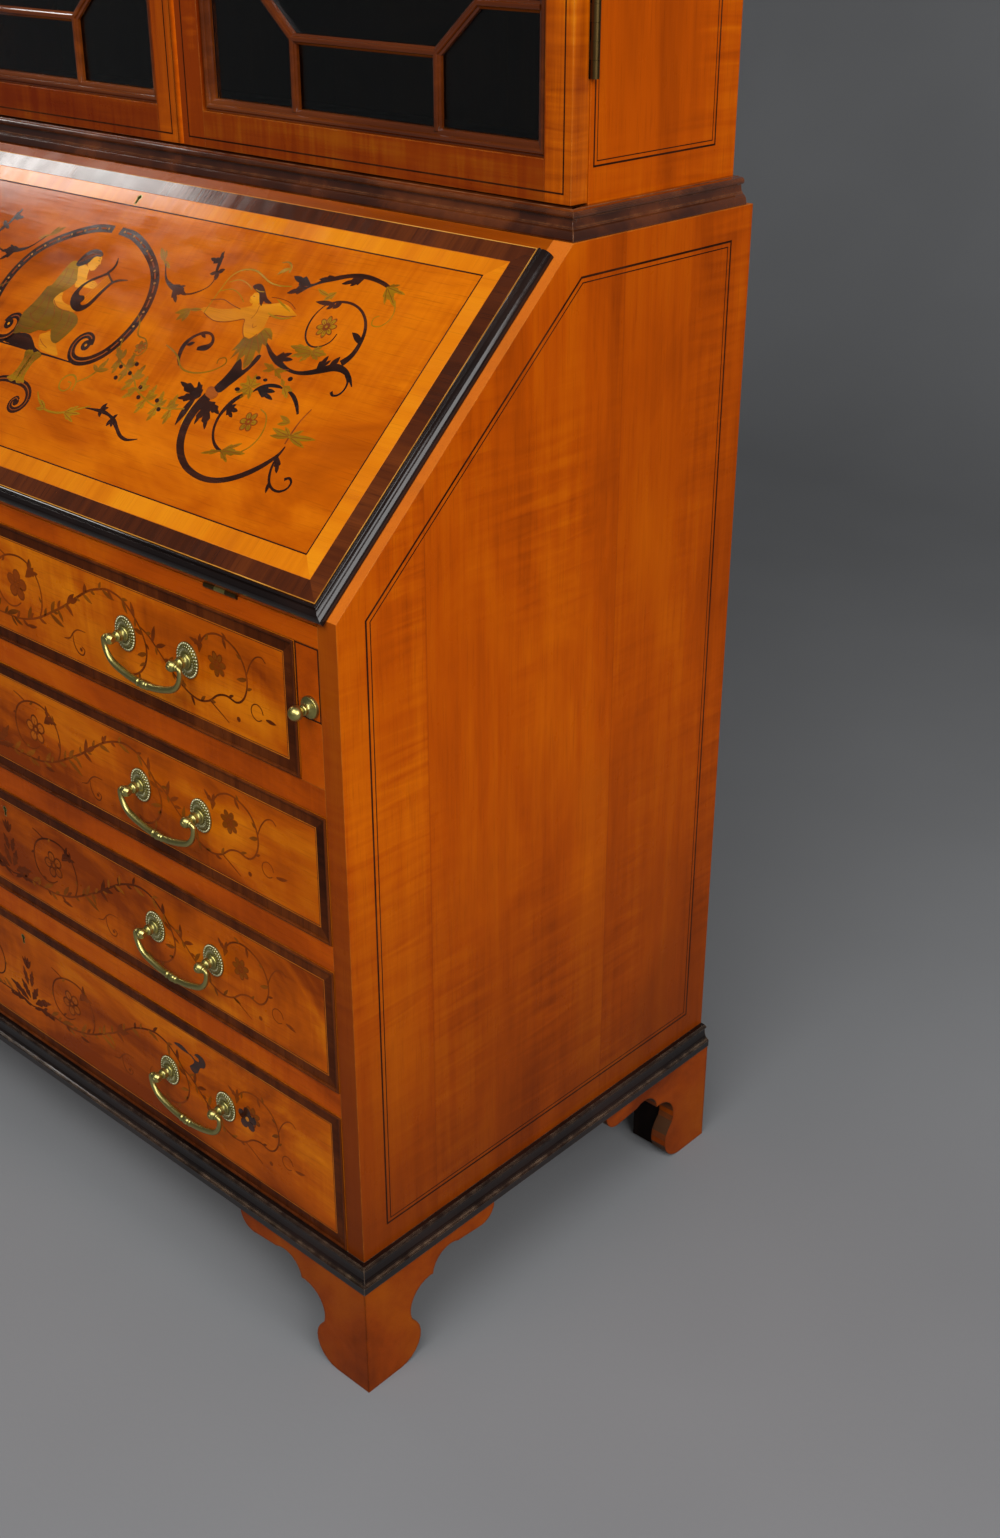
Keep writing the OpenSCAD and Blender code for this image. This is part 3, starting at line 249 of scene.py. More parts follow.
def wood(name, colours, grain="x", tone=1.0, streaks=1.0, figure=0.0, swirl=0.0, fibre=0.25,
        rough=0.3, coat=0.0, shine=0.06, soft=0.0, wear=None, edge=0.0012, relief=1.0, wave=1.0,
        seed=0.0, leaves=(), grime=0.0, lining=0.0, cuts=False, inside=None):
    """Polished wood in three colours: dark, middle and light.

    Tone, streaks, figure, swirl and fibre say how strongly the clouds, the streaks along the grain,
    the ripples across it, the eddies and the pores show. Relief and wave are the depth of the fine
    and of the broad bumps. Wear is the colour of rubbed edges. Edge is their width and soft the
    rounding of edges, in metres.
    Leaves are the joints of the veneer, as depths behind the drawer fronts in millimetres. On such
    boards, faces that look forward get painted shade and faces that look up a painted highlight.
    Near the floor the wood is darkened: painted shade, and on the feet dirt as well.
    Inner shade is the distance from the middle within which the wood is painted dark, as shade
    inside the case. Cuts turn dark grey the faces of a board that look up or down, where its
    outline is sawn. Inside is the colour of painted shade on the faces that look forward, into the
    case.
    """
    g = Graph(name)
    dark, middle, light = (srgb(*c) for c in colours)
    v = g.along(grain)
    joints, shift = 0.0, 0.0
    if leaves:
        depth = g.parts(g.place)[1]
        for k, at in enumerate(leaves):
            at = (at + FRONT_Y) * MM
            shift = g.add(shift, g.times(g.sum("GREATER_THAN", depth, at), 0.06 + 0.05 * k))
            near = g.sum("ABSOLUTE", g.sum("SUBTRACT", depth, at))
            joints = g.add(joints, g.span(near, 0.0003, 0.0011, 1.0, 0.0))
        add = g.node("ShaderNodeVectorMath", operation="ADD")
        g.put(add.inputs[0], v)
        g.put(add.inputs[1], g.vector(shift, shift, shift))
        v = add.outputs[0]
    cloud = g.noise(v, (1.7, 7.0, 7.0), 3.0, 0.55, 0.7, seed)
    streak = g.noise(v, (3.0, 85.0, 85.0), 7.0, 0.62, 0.3, seed + 3)
    line = g.noise(v, (28.0, 900.0, 900.0), 2.0, 0.5, 0.0, seed + 5)
    sway = g.noise(v, (3.0, 9.0, 9.0), 1.0, 0.5, 0.0, seed + 9)
    value = g.add(g.add(g.swing(cloud, 1.5 * tone), 0.5), g.swing(streak, 0.9 * streaks))
    if figure:
        ripple = g.noise(v, (95.0, 8.0, 8.0), 2.0, 0.5, 1.1, seed + 7)
        value = g.add(value, g.times(g.swing(ripple, g.span(sway, 0.42, 0.62)), figure))
    if swirl:
        eddy = g.noise(v, (4.0, 8.0, 8.0), 4.0, 0.6, 1.9, seed + 15)
        value = g.add(value, g.swing(eddy, 2.2 * swirl))
    colour = g.ramp(value, (0.12, dark), (0.5, middle), (0.88, light))
    if isinstance(grain, tuple):
        colour = g.mix(g.times(g.rail, 0.72), colour, srgb(98, 25, 1))
    if leaves:
        colour = g.mix(g.times(joints, 0.3), colour, dark)
        colour = g.mix(g.times(shift, 0.8), colour, dark)
        # Painted light: faces that look forward get painted shade, faces that look up a painted
        # highlight
        facing = g.normal()
        colour = g.mix(g.span(facing[1], -0.75, -0.9, 0.0, 0.5), colour, srgb(98, 40, 6))
        colour = g.mix(g.span(facing[2], 0.5, 0.6, 0.0, 0.55), colour, srgb(198, 110, 36))
    # Painted shade: the wood darkens towards the floor, in patches; on the feet it stands for dirt
    # as well
    if grime:
        patches = g.noise(g.place, (9.0, 9.0, 7.0), 4.0, 0.6, 0.5, seed + 13)
        low = g.add(g.span(g.parts(g.place)[2], 0.14, 0.6, 1.0, 0.0), g.times(patches, 0.6))
        colour = g.mix(g.span(low, 0.45, 1.4, 0.0, grime), colour, srgb(84, 34, 8))
    # Painted shade: near the middle, on the inner faces of the bookcase's sides, the wood is near
    # black
    if lining:
        near = g.sum("LESS_THAN", g.sum("ABSOLUTE", g.parts(g.place)[0]), lining * MM)
        colour = g.mix(g.times(near, 0.97), colour, srgb(20, 12, 9))
    # Painted shade on the faces that look forward, into the dark case
    if inside:
        colour = g.mix(g.span(g.normal()[1], -0.4, -0.6, 0.0, 0.97), colour, srgb(*inside))
    # The faces that look up or down are turned a dark grey
    if cuts:
        tilt = g.sum("ABSOLUTE", g.normal()[2])
        colour = g.mix(g.span(tilt, 0.08, 0.3, 0.0, 0.85), colour, srgb(52, 44, 32))
    pores = g.span(line, 0.56, 0.74, 0.0, fibre)
    colour = g.mix(pores, colour, tuple(0.45 * c for c in dark[:3]) + (1.0,))
    if wear:
        patchy = g.span(g.noise(v, (60.0, 60.0, 60.0), 3.0), 0.35, 0.7, 0.1, 0.75)
        colour = g.mix(g.times(g.edges(edge), patchy), colour, srgb(*wear))
    rub = g.noise(v, (22.0, 34.0, 34.0), 4.0, 0.6, 0.0, seed + 11)
    g.set(Base_Color=colour, Roughness=g.span(rub, 0.3, 0.75, rough - 0.06, rough + 0.12),
        Coat_Weight=coat, Coat_Roughness=0.07, IOR=1.5, Specular_IOR_Level=shine)
    fine = g.add(g.times(streak, 0.5 * relief), g.times(line, 0.18 * relief))
    g.bump(g.add(fine, g.times(sway, 3.0 * wave)), 0.00035, 0.4, soft)
    return g.material


def metal(name, colour, dull, rough):
    """Aged brass, duller in its hollows and in blotches."""
    g = Graph(name)
    blotch = g.noise(g.place, (90.0, 90.0, 90.0), 5.0, 0.6)
    fine = g.noise(g.place, (700.0, 700.0, 700.0), 3.0, 0.6)
    hollow = g.node("ShaderNodeAmbientOcclusion", samples=4)
    hollow.inputs["Distance"].default_value = 0.004
    shut = g.span(hollow.outputs["AO"], 0.9, 0.35)
    value = g.sum("ADD", shut, g.span(blotch, 0.45, 0.75, 0.0, 0.5), True)
    worn = g.add(blotch, g.times(shut, 0.5))
    g.set(Base_Color=g.mix(value, srgb(*colour), srgb(*dull)), Metallic=1.0,
        Roughness=g.span(worn, 0.3, 1.1, rough - 0.07, rough + 0.25))
    g.bump(fine, 0.00005, 0.25)
    return g.material


def pane(name):
    """Old window glass, a little wavy."""
    g = Graph(name)
    wave = g.noise(g.place, (14.0, 14.0, 9.0), 2.0, 0.4)
    smear = g.noise(g.place, (30.0, 30.0, 30.0), 4.0)
    g.set(Base_Color=(0.72, 0.76, 0.74, 1.0), Roughness=g.span(smear, 0.4, 0.8, 0.0, 0.03),
        IOR=1.35, Transmission_Weight=1.0)
    g.bump(wave, 0.0006, 0.12)
    return g.material


# Colours as dark, middle and light, and settings that several woods share
SATIN = ((122, 44, 1), (175, 72, 0), (202, 98, 1))
DOOR = ((130, 48, 0), (180, 82, 0), (216, 122, 10))
ROSE = ((40, 14, 3), (74, 30, 6), (108, 50, 12))
PALE = ((174, 86, 1), (204, 112, 3), (220, 136, 12))
BLACK = ((10, 6, 5), (20, 12, 10), (38, 23, 18))
OAK = ((96, 66, 36), (134, 98, 58), (168, 130, 84))
WORN = {"soft": 0.0009, "wear": (206, 124, 40)}
DOOR_WOOD = {"tone": 1.7, "figure": 0.9, "shine": 0.2, **WORN}
ROSEWOOD = {"tone": 0.8, "streaks": 0.9, "fibre": 0.4}
ROSE_WORN = {**ROSEWOOD, "soft": 0.0006, "wear": (120, 66, 40)}
ROSE_GLOSSY = {**ROSEWOOD, "rough": 0.12, "coat": 0.3, "shine": 0.3}
TULIPWOOD = {"tone": 0.8, "streaks": 0.7, "fibre": 0.2, "rough": 0.12, "coat": 0.2, "shine": 0.22}
EBONY = {"tone": 0.8, "streaks": 0.1, "fibre": 0.03, "coat": 0.35, "soft": 0.0005, "shine": 0.2}
ROUGH_OAK = {"tone": 0.9, "streaks": 1.4, "fibre": 0.6, "rough": 0.62, "soft": 0.0008,
    "wear": (110, 78, 44)}
INLAY = {"rough": 0.13, "coat": 0.2, "shine": 0.22, "wave": 0.3, "streaks": 1.2}
PEN = {"fibre": 0.3, "wave": 0.3}


def satinwood(name, grain, **settings):
    settings = {"figure": 0.35, "tone": 0.9, "streaks": 0.4, **WORN, **settings}
    return wood(name, SATIN, grain, **settings)


satin_x = satinwood("satinwood_across", "x", seed=1.0, swirl=0.4, rough=0.22)
satin_y = satinwood("satinwood_deep", "y", seed=2.0)
# The bureau's sides: painted shade low down and on the front edges, a painted highlight on the
# slope
satin_z = satinwood("satinwood_upright", "z", seed=3.0, figure=0.55, streaks=0.6, tone=0.6,
    swirl=0.22, fibre=0.2, leaves=(90.0, 315.0), grime=0.7)
# The bookcase's sides, with painted shade on their inner faces
satin_book = satinwood("satinwood_bookcase", "z", seed=33.0, figure=0.8, lining=448.3)
# The feet: dirty edges, and dirt with painted shade low down
satin_foot = satinwood("satinwood_feet", "round", seed=4.0, figure=0.2, tone=1.6, swirl=0.3,
    rough=0.34, grime=0.6, cuts=True, wear=(52, 22, 6), edge=0.004)
drawer_wood = wood("satinwood_drawers", ((128, 50, 1), (178, 80, 0), (212, 116, 5)), tone=1.3,
    streaks=0.45, figure=0.35, seed=5.0, swirl=0.7, **WORN)
fall_wood = wood("satinwood_fall", ((132, 54, 0), (174, 80, 0), (202, 106, 3)), streaks=0.35,
    figure=0.45, seed=6.0, rough=0.09, coat=0.12, soft=0.0009, shine=0.11, swirl=0.7)
door_left_wood = wood("satinwood_left_door", DOOR, (-439.0, -26.0), seed=7.0, **DOOR_WOOD)
door_right_wood = wood("satinwood_right_door", DOOR, (37.0, 439.0), seed=8.0, **DOOR_WOOD)
top_wood = wood("satinwood_top_strip", ((88, 34, 2), (130, 56, 2), (160, 78, 4)), streaks=0.5,
    seed=27.0, rough=0.22, **WORN)
rosewood_x = wood("rosewood_across", ROSE, "z", seed=9.0, **ROSE_WORN)
rosewood_z = wood("rosewood_upright", ROSE, "x", seed=10.0, **ROSE_WORN)
rosewood_slope = wood("rosewood_slope", ROSE, "slope", seed=11.0, **ROSE_GLOSSY)
rosewood_end = wood("rosewood_ends", ROSE, "x", seed=31.0, **ROSE_GLOSSY)
light_x = wood("tulipwood_ends", PALE, "x", seed=12.0, **TULIPWOOD)
light_slope = wood("tulipwood_slope", PALE, "slope", seed=13.0, **TULIPWOOD)
ebony = wood("ebonised_wood", BLACK, "round", rough=0.12, seed=14.0, wear=(150, 122, 98),
    relief=0.1, wave=0.3, **EBONY)
lip_wood = wood("ebonised_lip", BLACK, "round", rough=0.1, seed=24.0, relief=0.0, wave=0.2, **EBONY)
cornice_wood = wood("ebonised_cornice", BLACK, "x", tone=0.8, streaks=0.3, fibre=0.1, rough=0.4,
    seed=28.0, soft=0.0005, wear=(110, 86, 66), relief=0.4, wave=0.5)
waist_wood = wood("waist_moulding_wood", ((28, 10, 3), (56, 23, 8), (102, 49, 18)), "round",
    streaks=0.4, fibre=0.15, relief=0.2, wave=0.5, rough=0.13, coat=0.5, seed=15.0, soft=0.0005,
    wear=(170, 112, 70), shine=0.45)
bar_wood = wood("glazing_bar_wood", ((44, 15, 3), (84, 35, 6), (132, 64, 14)), tone=0.8,
    streaks=0.6, fibre=0.2, rough=0.12, coat=0.6, seed=16.0, shine=0.25)
oak_x = wood("oak_across", OAK, "x", seed=17.0, **ROUGH_OAK)
oak_y = wood("oak_deep", OAK, "y", seed=18.0, **ROUGH_OAK)
oak_z = wood("oak_upright", OAK, "z", seed=19.0, **ROUGH_OAK)
# Painted shade: the boards and shelves inside the glazed case are near black
shelf_shade_wood = wood("shelf_wood_painted_shade", ((14, 8, 6), (26, 16, 12), (40, 26, 19)), tone=0.9, rough=0.5,
    seed=20.0)
# Painted shade: the blocks behind the feet are near black
block_shade_wood = wood("foot_block_painted_shade", ((10, 6, 5), (20, 12, 10), (32, 20, 15)), "z", tone=0.9, rough=0.55,
    seed=21.0)
# The backboard gets painted shade on its face inside the case
back_wood = wood("backboard_wood", ((70, 50, 30), (104, 78, 48), (132, 102, 66)), "z", tone=0.9,
    streaks=1.4, fibre=0.5, rough=0.6, seed=26.0, inside=(20, 12, 10))
brass = metal("aged_brass", (184, 172, 104), (112, 106, 56), 0.33)
pale_brass = metal("worn_brass", (222, 218, 180), (160, 156, 110), 0.4)
hinge_brass = metal("tarnished_brass", (92, 72, 40), (46, 36, 22), 0.4)
glass = pane("window_glass")
string_dark = wood("dark_stringing", ((30, 12, 5), (50, 22, 10), (76, 38, 18)), "round", seed=22.0)
string_light = wood("boxwood_stringing", ((150, 92, 30), (184, 122, 44), (206, 148, 66)), "round",
    seed=23.0)
faint_line = wood("faint_stringing", ((170, 84, 10), (196, 104, 18), (214, 124, 34)), "round",
    seed=34.0)
inlay_dark = wood("inlay_dark", ((24, 9, 5), (46, 19, 9), (76, 35, 17)), fibre=0.4, seed=24.0,
    **INLAY)
inlay_green = wood("inlay_green", ((84, 54, 0), (118, 80, 1), (156, 110, 6)), tone=1.5, fibre=0.4,
    seed=25.0, **INLAY)
inlay_pale = wood("inlay_pale", ((168, 92, 1), (200, 122, 6), (222, 150, 24)), tone=1.2, fibre=0.3,
    seed=26.0, **INLAY)
inlay_brown = wood("inlay_brown", ((84, 32, 3), (122, 52, 6), (156, 76, 14)), fibre=0.4, seed=27.0,
    **INLAY)
pen_line = wood("pen_line", ((64, 22, 1), (94, 37, 3), (128, 55, 6)), tone=2.4, seed=28.0, **PEN)
pen_green = wood("pen_green", ((98, 46, 2), (124, 62, 4), (150, 82, 8)), tone=1.6, seed=29.0, **PEN)
pen_brown = wood("pen_brown", ((122, 50, 4), (150, 68, 6), (178, 90, 12)), tone=1.6, seed=30.0,
    **PEN)

# The material of each solid of the frame
NEST = "nest_drawer_left nest_drawer_middle nest_drawer_right"
DRAWERS = [" ".join(f"drawer_{n}_{part}" for n in FRONTS) for part in ("front", "box", "brass")]
BAILS = " ".join(f"bail_{n}_{side}" for n in FRONTS for _, side in SIDES)
FINISH = {name: look for look, names in (
    (satin_x, "writing_bed drawer_rails pigeonholes frieze " + NEST),
    (satin_y, "loper_bearers loper_left loper_right"),
    (satin_z, "bureau_sides"),
    (satin_book, "bookcase_sides"),
    (satin_foot, "bracket_feet"),
    (top_wood, "bureau_top"),
    (drawer_wood, DRAWERS[0]),
    (fall_wood, "fall_board"),
    (door_left_wood, "door_left_frame"),
    (door_right_wood, "door_right_frame"),
    (bar_wood, "door_left_bars door_right_bars"),
    (ebony, "base_moulding"),
    (lip_wood, "fall_lip"),
    (cornice_wood, "cornice"),
    (waist_wood, "waist_moulding"),
    (oak_x, "bottom_board"),
    (oak_y, "drawer_runners loper_partitions " + DRAWERS[1]),
    (oak_z, "bureau_back"),
    (shelf_shade_wood, "bookcase_boards shelf_bearers shelves"),
    (block_shade_wood, "foot_blocks"),
    (back_wood, "bookcase_back"),
    (brass, "fall_brass loper_knob_left loper_knob_right " + DRAWERS[2] + " " + BAILS),
    (hinge_brass, "fixed_hinge_leaves door_left_brass door_right_brass"),
    (glass, "door_left_glass door_right_glass"),
) for name in names.split()}
for name, node in nodes.items():
    for place in node.material_slots:
        place.material = FINISH[name]
# The small drawers' knobs have a slot of their own
for name in NEST.split():
    if len(nodes[name].material_slots) > 1:
        nodes[name].material_slots[1].material = brass


# Geometry


class Piece:
    """Closed solids that become one object, which rides on a body."""

    def __init__(self, name, body, smooth=False):
        self.name, self.body, self.smooth = name, body, smooth
        self.points, self.faces, self.looks, self.materials = [], [], [], []

    def add(self, points, faces, material):
        if material not in self.materials:
            self.materials.append(material)
        base = len(self.points)
        self.points += points
        self.faces += [tuple(base + i for i in face) for face in faces]
        self.looks += [self.materials.index(material)] * len(faces)

    def make(self):
        mesh = bpy.data.meshes.new(self.name)
        mesh.from_pydata(self.points, [], self.faces)
        for material in self.materials:
            mesh.materials.append(material)
        mesh.polygons.foreach_set("material_index", self.looks)
        work = bmesh.new()
        work.from_mesh(mesh)
        bmesh.ops.recalc_face_normals(work, faces=work.faces)
        work.to_mesh(mesh)
        work.free()
        mesh.shade_smooth() if self.smooth else mesh.shade_flat()
        made = bpy.data.objects.new(self.name, mesh)
        bpy.context.scene.collection.objects.link(made)
        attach(made, self.body)
        return made


def walls(around, rows, closed=False):
    """The faces that join each ring of points to the next."""
    return [(a + k, a + (k + 1) % around, b + (k + 1) % around, b + k)
        for i in range(rows if closed else rows - 1)
        for a, b in [(i * around, (i + 1) % rows * around)] for k in range(around)]


def tube(around, rows):
    """Walls, and one flat face on each end."""
    last = around * rows - 1
    return walls(around, rows) + [tuple(range(around)), tuple(range(last, last - around, -1))]


def lids(outlines, shift):
    """Triangles on both ends of a solid. The other end's points come shift places later."""
    top = tessellate_polygon([[Vector((x, y, 0)) for x, y in line] for line in outlines])
    return [tuple(t) for t in top] + [tuple(i + shift for i in reversed(t)) for t in top]


def prism(piece, outline, place, low, high, material):
    """A flat plate with the given outline."""
    n = len(outline)
    points = [place(x, y, h) for h in (high, low) for x, y in outline]
    piece.add(points, lids([outline], n) + walls(n, 2), material)


def pierced(piece, outline, hole, place, low, high, material):
    """A flat plate with a hole."""
    n = len(outline) + len(hole)
    points = [place(x, y, h) for h in (high, low) for x, y in outline + hole]
    faces = lids([outline, hole], n)
    for base, m in ((0, len(outline)), (len(outline), len(hole))):
        faces += [(base + i, base + (i + 1) % m, base + (i + 1) % m + n, base + i + n)
            for i in range(m)]
    piece.add(points, faces, material)


def solid_run(piece, section, ends, material, closed=False):
    """A bar of one section through places, each a function from the section to a point."""
    count, rows = len(section), len(ends)
    points = [place(u, v) for place in ends for u, v in section]
    faces = walls(count, rows, closed)
    if not closed:
        faces += lids([section], (rows - 1) * count)
    piece.add(points, faces, material)


def strip(piece, left, right, place, low, high, material):
    """A flat plate between two lines of as many points."""
    points, faces = [], []
    for a, b in zip(left, right):
        points += [place(*a, high), place(*b, high), place(*b, low), place(*a, low)]
    last = len(points) - 4
    for a in range(0, last, 4):
        faces += [(a + k, a + 4 + k, a + 4 + (k + 1) % 4, a + (k + 1) % 4) for k in range(4)]
    faces += [(0, 1, 2, 3), tuple(last + k for k in (3, 2, 1, 0))]
    piece.add(points, faces, material)


def smooth_line(points, steps=5, closed=False):
    """A smooth line through the points. Every number of a point is carried along."""
    n = len(points)
    line = []
    for i in range(n if closed else n - 1):
        near = [points[(i + k) % n] if closed else points[min(max(i + k, 0), n - 1)]
            for k in (-1, 0, 1, 2)]
        for s in range(steps):
            t = s / steps
            line.append(tuple(0.5 * (2 * b + (c - a) * t + (2 * a - 5 * b + 4 * c - d) * t * t
                + (3 * b - a - 3 * c + d) * t ** 3) for a, b, c, d in zip(*near)))
    return line if closed else line + [tuple(points[-1])]


def ribbon(piece, points, place, low, high, material, steps):
    """A flat strip along a smooth line of [x, y, width]."""
    line = smooth_line(points, steps)
    left, right = [], []
    for i, (x, y, w) in enumerate(line):
        a, b = line[max(i - 1, 0)], line[min(i + 1, len(line) - 1)]
        dx, dy = b[0] - a[0], b[1] - a[1]
        size = math.hypot(dx, dy) or 1.0
        left.append((x - dy / size * w / 2, y + dx / size * w / 2))
        right.append((x + dy / size * w / 2, y - dx / size * w / 2))
    strip(piece, left, right, place, low, high, material)


def inset(outline, d):
    """An anticlockwise outline moved inwards by d, with its corners kept sharp."""
    n = len(outline)
    out = []
    for i in range(n):
        a, b, c = (Vector(outline[(i + k) % n]) for k in (-1, 0, 1))
        u, v = (b - a).normalized(), (c - b).normalized()
        nu, nv = Vector((-u.y, u.x)), Vector((-v.y, v.x))
        m = (nu + nv) / (1 + nu.dot(nv))
        out.append(tuple(b + m * d))
    return out


def frame_band(piece, outline, d0, d1, place, low, high, materials):
    """Mitred strips between two insets of an outline, side by side from the first point."""
    outer, inner = inset(outline, d0), inset(outline, d1)
    n = len(outline)
    for i in range(n):
        j = (i + 1) % n
        prism(piece, [outer[i], outer[j], inner[j], inner[i]], place, low, high,
            materials[i % len(materials)])


def rectangle(x0, x1, z0, z1):
    return [(x0, z0), (x1, z0), (x1, z1), (x0, z1)]


def circle(count, width, height):
    """Points evenly round an oval, given by its half width and half height."""
    turn = [2 * math.pi * k / count for k in range(count)]
    return [(width * math.cos(a), height * math.sin(a)) for a in turn]


def lathe(piece, profile, centre, axis, material, around=24):
    """A turned solid: profile gives [distance along the axis, radius], from end to end."""
    axis, centre = Vector(axis), Vector(centre)
    side = Vector((1, 0, 0)) if abs(axis.x) < 0.9 else Vector((0, 1, 0))
    other = axis.cross(side).normalized()
    points = [cab(*(centre + axis * along + side * u + other * v))
        for along, r in profile for u, v in circle(around, r, r)]
    piece.add(points, tube(around, len(profile)), material)


def sweep(piece, stations, material, around=14):
    """A round bar through stations of [point, radius], in cabinet millimetres."""
    points = []
    out = Vector((0, 1, 0))
    for i, (p, r) in enumerate(stations):
        a, b = (Vector(stations[min(max(k, 0), len(stations) - 1)][0]) for k in (i - 1, i + 1))
        side = (b - a).normalized().cross(out).normalized()
        points += [cab(*(Vector(p) + side * u + out * v)) for u, v in circle(around, r, r)]
    piece.add(points, tube(around, len(stations)), material)


def bead(piece, centre, axis, r, material):
    """Half of a ball on a surface, with its flat side sunk a little."""
    rise = [math.pi / 2 * k / 3 for k in range(3)]
    profile = [(-0.3, r)] + [(r * math.sin(a), r * math.cos(a)) for a in rise] + [(r, 0.05 * r)]
    lathe(piece, profile, centre, axis, material, 8)


# Brass: bails, rosettes, posts and knobs
# Half of a bail is an elbow, a corner and a shallow arc at the bottom

FORWARD = (0, -1, 0)
BAIL_DROP, BAIL_OUT, BALL_R = 28.0, 9.0, 5.0
ELBOW_R = BAIL_OUT - BALL_R - 0.4
BAIL_HALF = PITCH / 2 + BAIL_OUT
BOTTOM_A = math.radians(20)
SHARE = (1 - math.cos(BOTTOM_A)) / math.sin(BOTTOM_A)
CORNER_R = (BAIL_DROP - ELBOW_R - BAIL_HALF * SHARE) \
    / (math.cos(BOTTOM_A) - SHARE * (1 - math.sin(BOTTOM_A)))
BOTTOM_R = (BAIL_HALF - CORNER_R * (1 - math.sin(BOTTOM_A))) / math.sin(BOTTOM_A)


def bail_line():
    """Half of a bail, from its pin to the middle: [x, z, radius]."""
    x = BAIL_HALF - ELBOW_R
    line = [(x - 0.7, 0.0, 1.2), (x - 0.5, 0.0, 2.0), (x, 0.0, 2.2)]
    for k in range(1, 9):
        a = math.radians(90 - 90 * k / 8)
        line.append((x + ELBOW_R * math.cos(a), -ELBOW_R + ELBOW_R * math.sin(a), 2.2))
    for k in range(1, 15):
        a = -(math.pi / 2 - BOTTOM_A) * k / 14
        line.append((BAIL_HALF - CORNER_R + CORNER_R * math.cos(a),
            -ELBOW_R + CORNER_R * math.sin(a), 2.2 + 0.75 * (k / 14) ** 1.5))
    start, end = BOTTOM_A - math.pi / 2, math.asin(7.5 / BOTTOM_R) - math.pi / 2
    for k in range(1, 13):
        a = start + (end - start) * k / 12
        line.append((BOTTOM_R * math.cos(a), BOTTOM_R - BAIL_DROP + BOTTOM_R * math.sin(a),
            2.95 + 0.15 * k / 12))
    # Turned swelling in the middle
    for x, r in ((6.6, 3.3), (6.1, 3.8), (5.4, 3.8), (4.9, 3.0), (4.2, 2.8), (3.4, 3.3), (2.4, 3.7),
            (1.2, 3.9), (0.0, 3.95)):
        line.append((x, BOTTOM_R - BAIL_DROP - math.sqrt(BOTTOM_R ** 2 - x * x), r))
    return line


def post(piece, x, z):
    """The rosette's beaded rim and ribbed ring, and the rings of one post."""
    width, height = 13.0, 15.5
    for u, v in circle(32, width - 1.1, height - 1.2):
        bead(piece, (x + u, -1.1, z + v), FORWARD, 1.05, pale_brass)
    for c, s in circle(26, 1.0, 1.0):
        # A rib from the rim inwards: [share of the way out, height, radius]
        side = Vector((-height * s, 0, width * c)).normalized()
        points = []
        for q, h, r in ((0.80, 1.3, 0.2), (0.74, 1.7, 0.8), (0.62, 2.2, 0.75), (0.52, 2.7, 0.2)):
            p = Vector((x + q * width * c, -h, z + q * height * s))
            points += [cab(*(p + side * u + Vector(FORWARD) * v)) for u, v in circle(6, r, r)]
        piece.add(points, tube(6, 4), pale_brass)
    lathe(piece, [(2.2, 2.4), (2.2, 6.2), (3.0, 6.6), (3.8, 6.2), (4.3, 5.0), (5.0, 4.2),
        (6.0, 3.7), (7.4, 3.6), (8.2, 3.9), (8.8, 4.5), (9.5, 4.7), (10.2, 4.5), (10.7, 3.8),
        (11.4, 3.4), (12.0, 2.4)], (x, 0, z), FORWARD, brass)
    # The ball's flattened button and tip in front
    lathe(piece, [(3.9, 2.0), (4.6, 2.3), (4.95, 1.5), (5.0, 0.3)], (x, -BALL_Y, z), FORWARD,
        brass, 16)


half_line = bail_line()
whole_line = [(-x, z, r) for x, z, r in half_line[:-1]] + half_line[::-1]
for n, (z0, z1, _) in FRONTS.items():
    z_post = (z0 + z1) / 2 + HANDLE_UP
    trim = Piece(f"drawer_{n}_rosettes", f"drawer_{n}", True)
    for s, _ in SIDES:
        for e, _ in SIDES:
            post(trim, s * HANDLE_X + e * PITCH / 2, z_post)
    trim.make()
    for s, side in SIDES:
        piece = Piece(f"bail_{n}_{side}_grip", f"bail_{n}_{side}", True)
        sweep(piece, [((s * HANDLE_X + x, -BALL_Y, z_post + z), r) for x, z, r in whole_line],
            brass)
        # The curled end beside each ball, and the pin that goes into it
        for e, _ in SIDES:
            lathe(piece, [(2.0, 1.5), (5.1, 1.5), (5.15, 2.6), (5.6, 3.1), (6.2, 2.9), (6.6, 2.1),
                (7.0, 1.5)], (s * HANDLE_X + e * PITCH / 2, -BALL_Y, z_post), (e, 0, 0), brass, 16)
        made = piece.make()
        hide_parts(f"bail_{n}_{side}")

for s, side in SIDES:
    piece = Piece(f"loper_{side}_knob_rings", f"loper_{side}", True)
    lathe(piece, [(1.7, 3.0), (1.7, 8.4), (2.2, 8.9), (2.7, 8.4), (2.9, 7.2), (3.5, 6.4),
        (4.1, 4.6), (5.2, 3.6), (6.6, 3.4), (7.4, 4.1), (8.1, 4.3), (8.8, 3.8), (9.4, 2.8)],
        (s * (LOPER_X[1] - 11.0), 0, LOPER_Z[0] + 11.0), FORWARD, brass, 28)
    piece.make()


def keyhole(x, y, grow):
    """Outline of a keyhole, anticlockwise, around the middle of its round end."""
    r = KEY_R + grow
    half = r / 2
    start = -math.acos(-half / r) + math.pi
    turn = [-math.pi / 2 + start + (2 * math.pi - 2 * start) * k / 14 for k in range(15)]
    foot = -3 * KEY_R - grow
    ring = [(-half, foot), (half, foot)] + [(r * math.cos(a), r * math.sin(a)) for a in turn]
    return [(x + u, y + v) for u, v in ring]


def arc(x, y, r, start, end, steps, squash=1.0):
    turn = [math.radians(start + (end - start) * k / steps) for k in range(steps + 1)]
    return [(x + r * math.cos(a), y + squash * r * math.sin(a)) for a in turn]


# Mouldings round the case, as sections of [distance out, height]

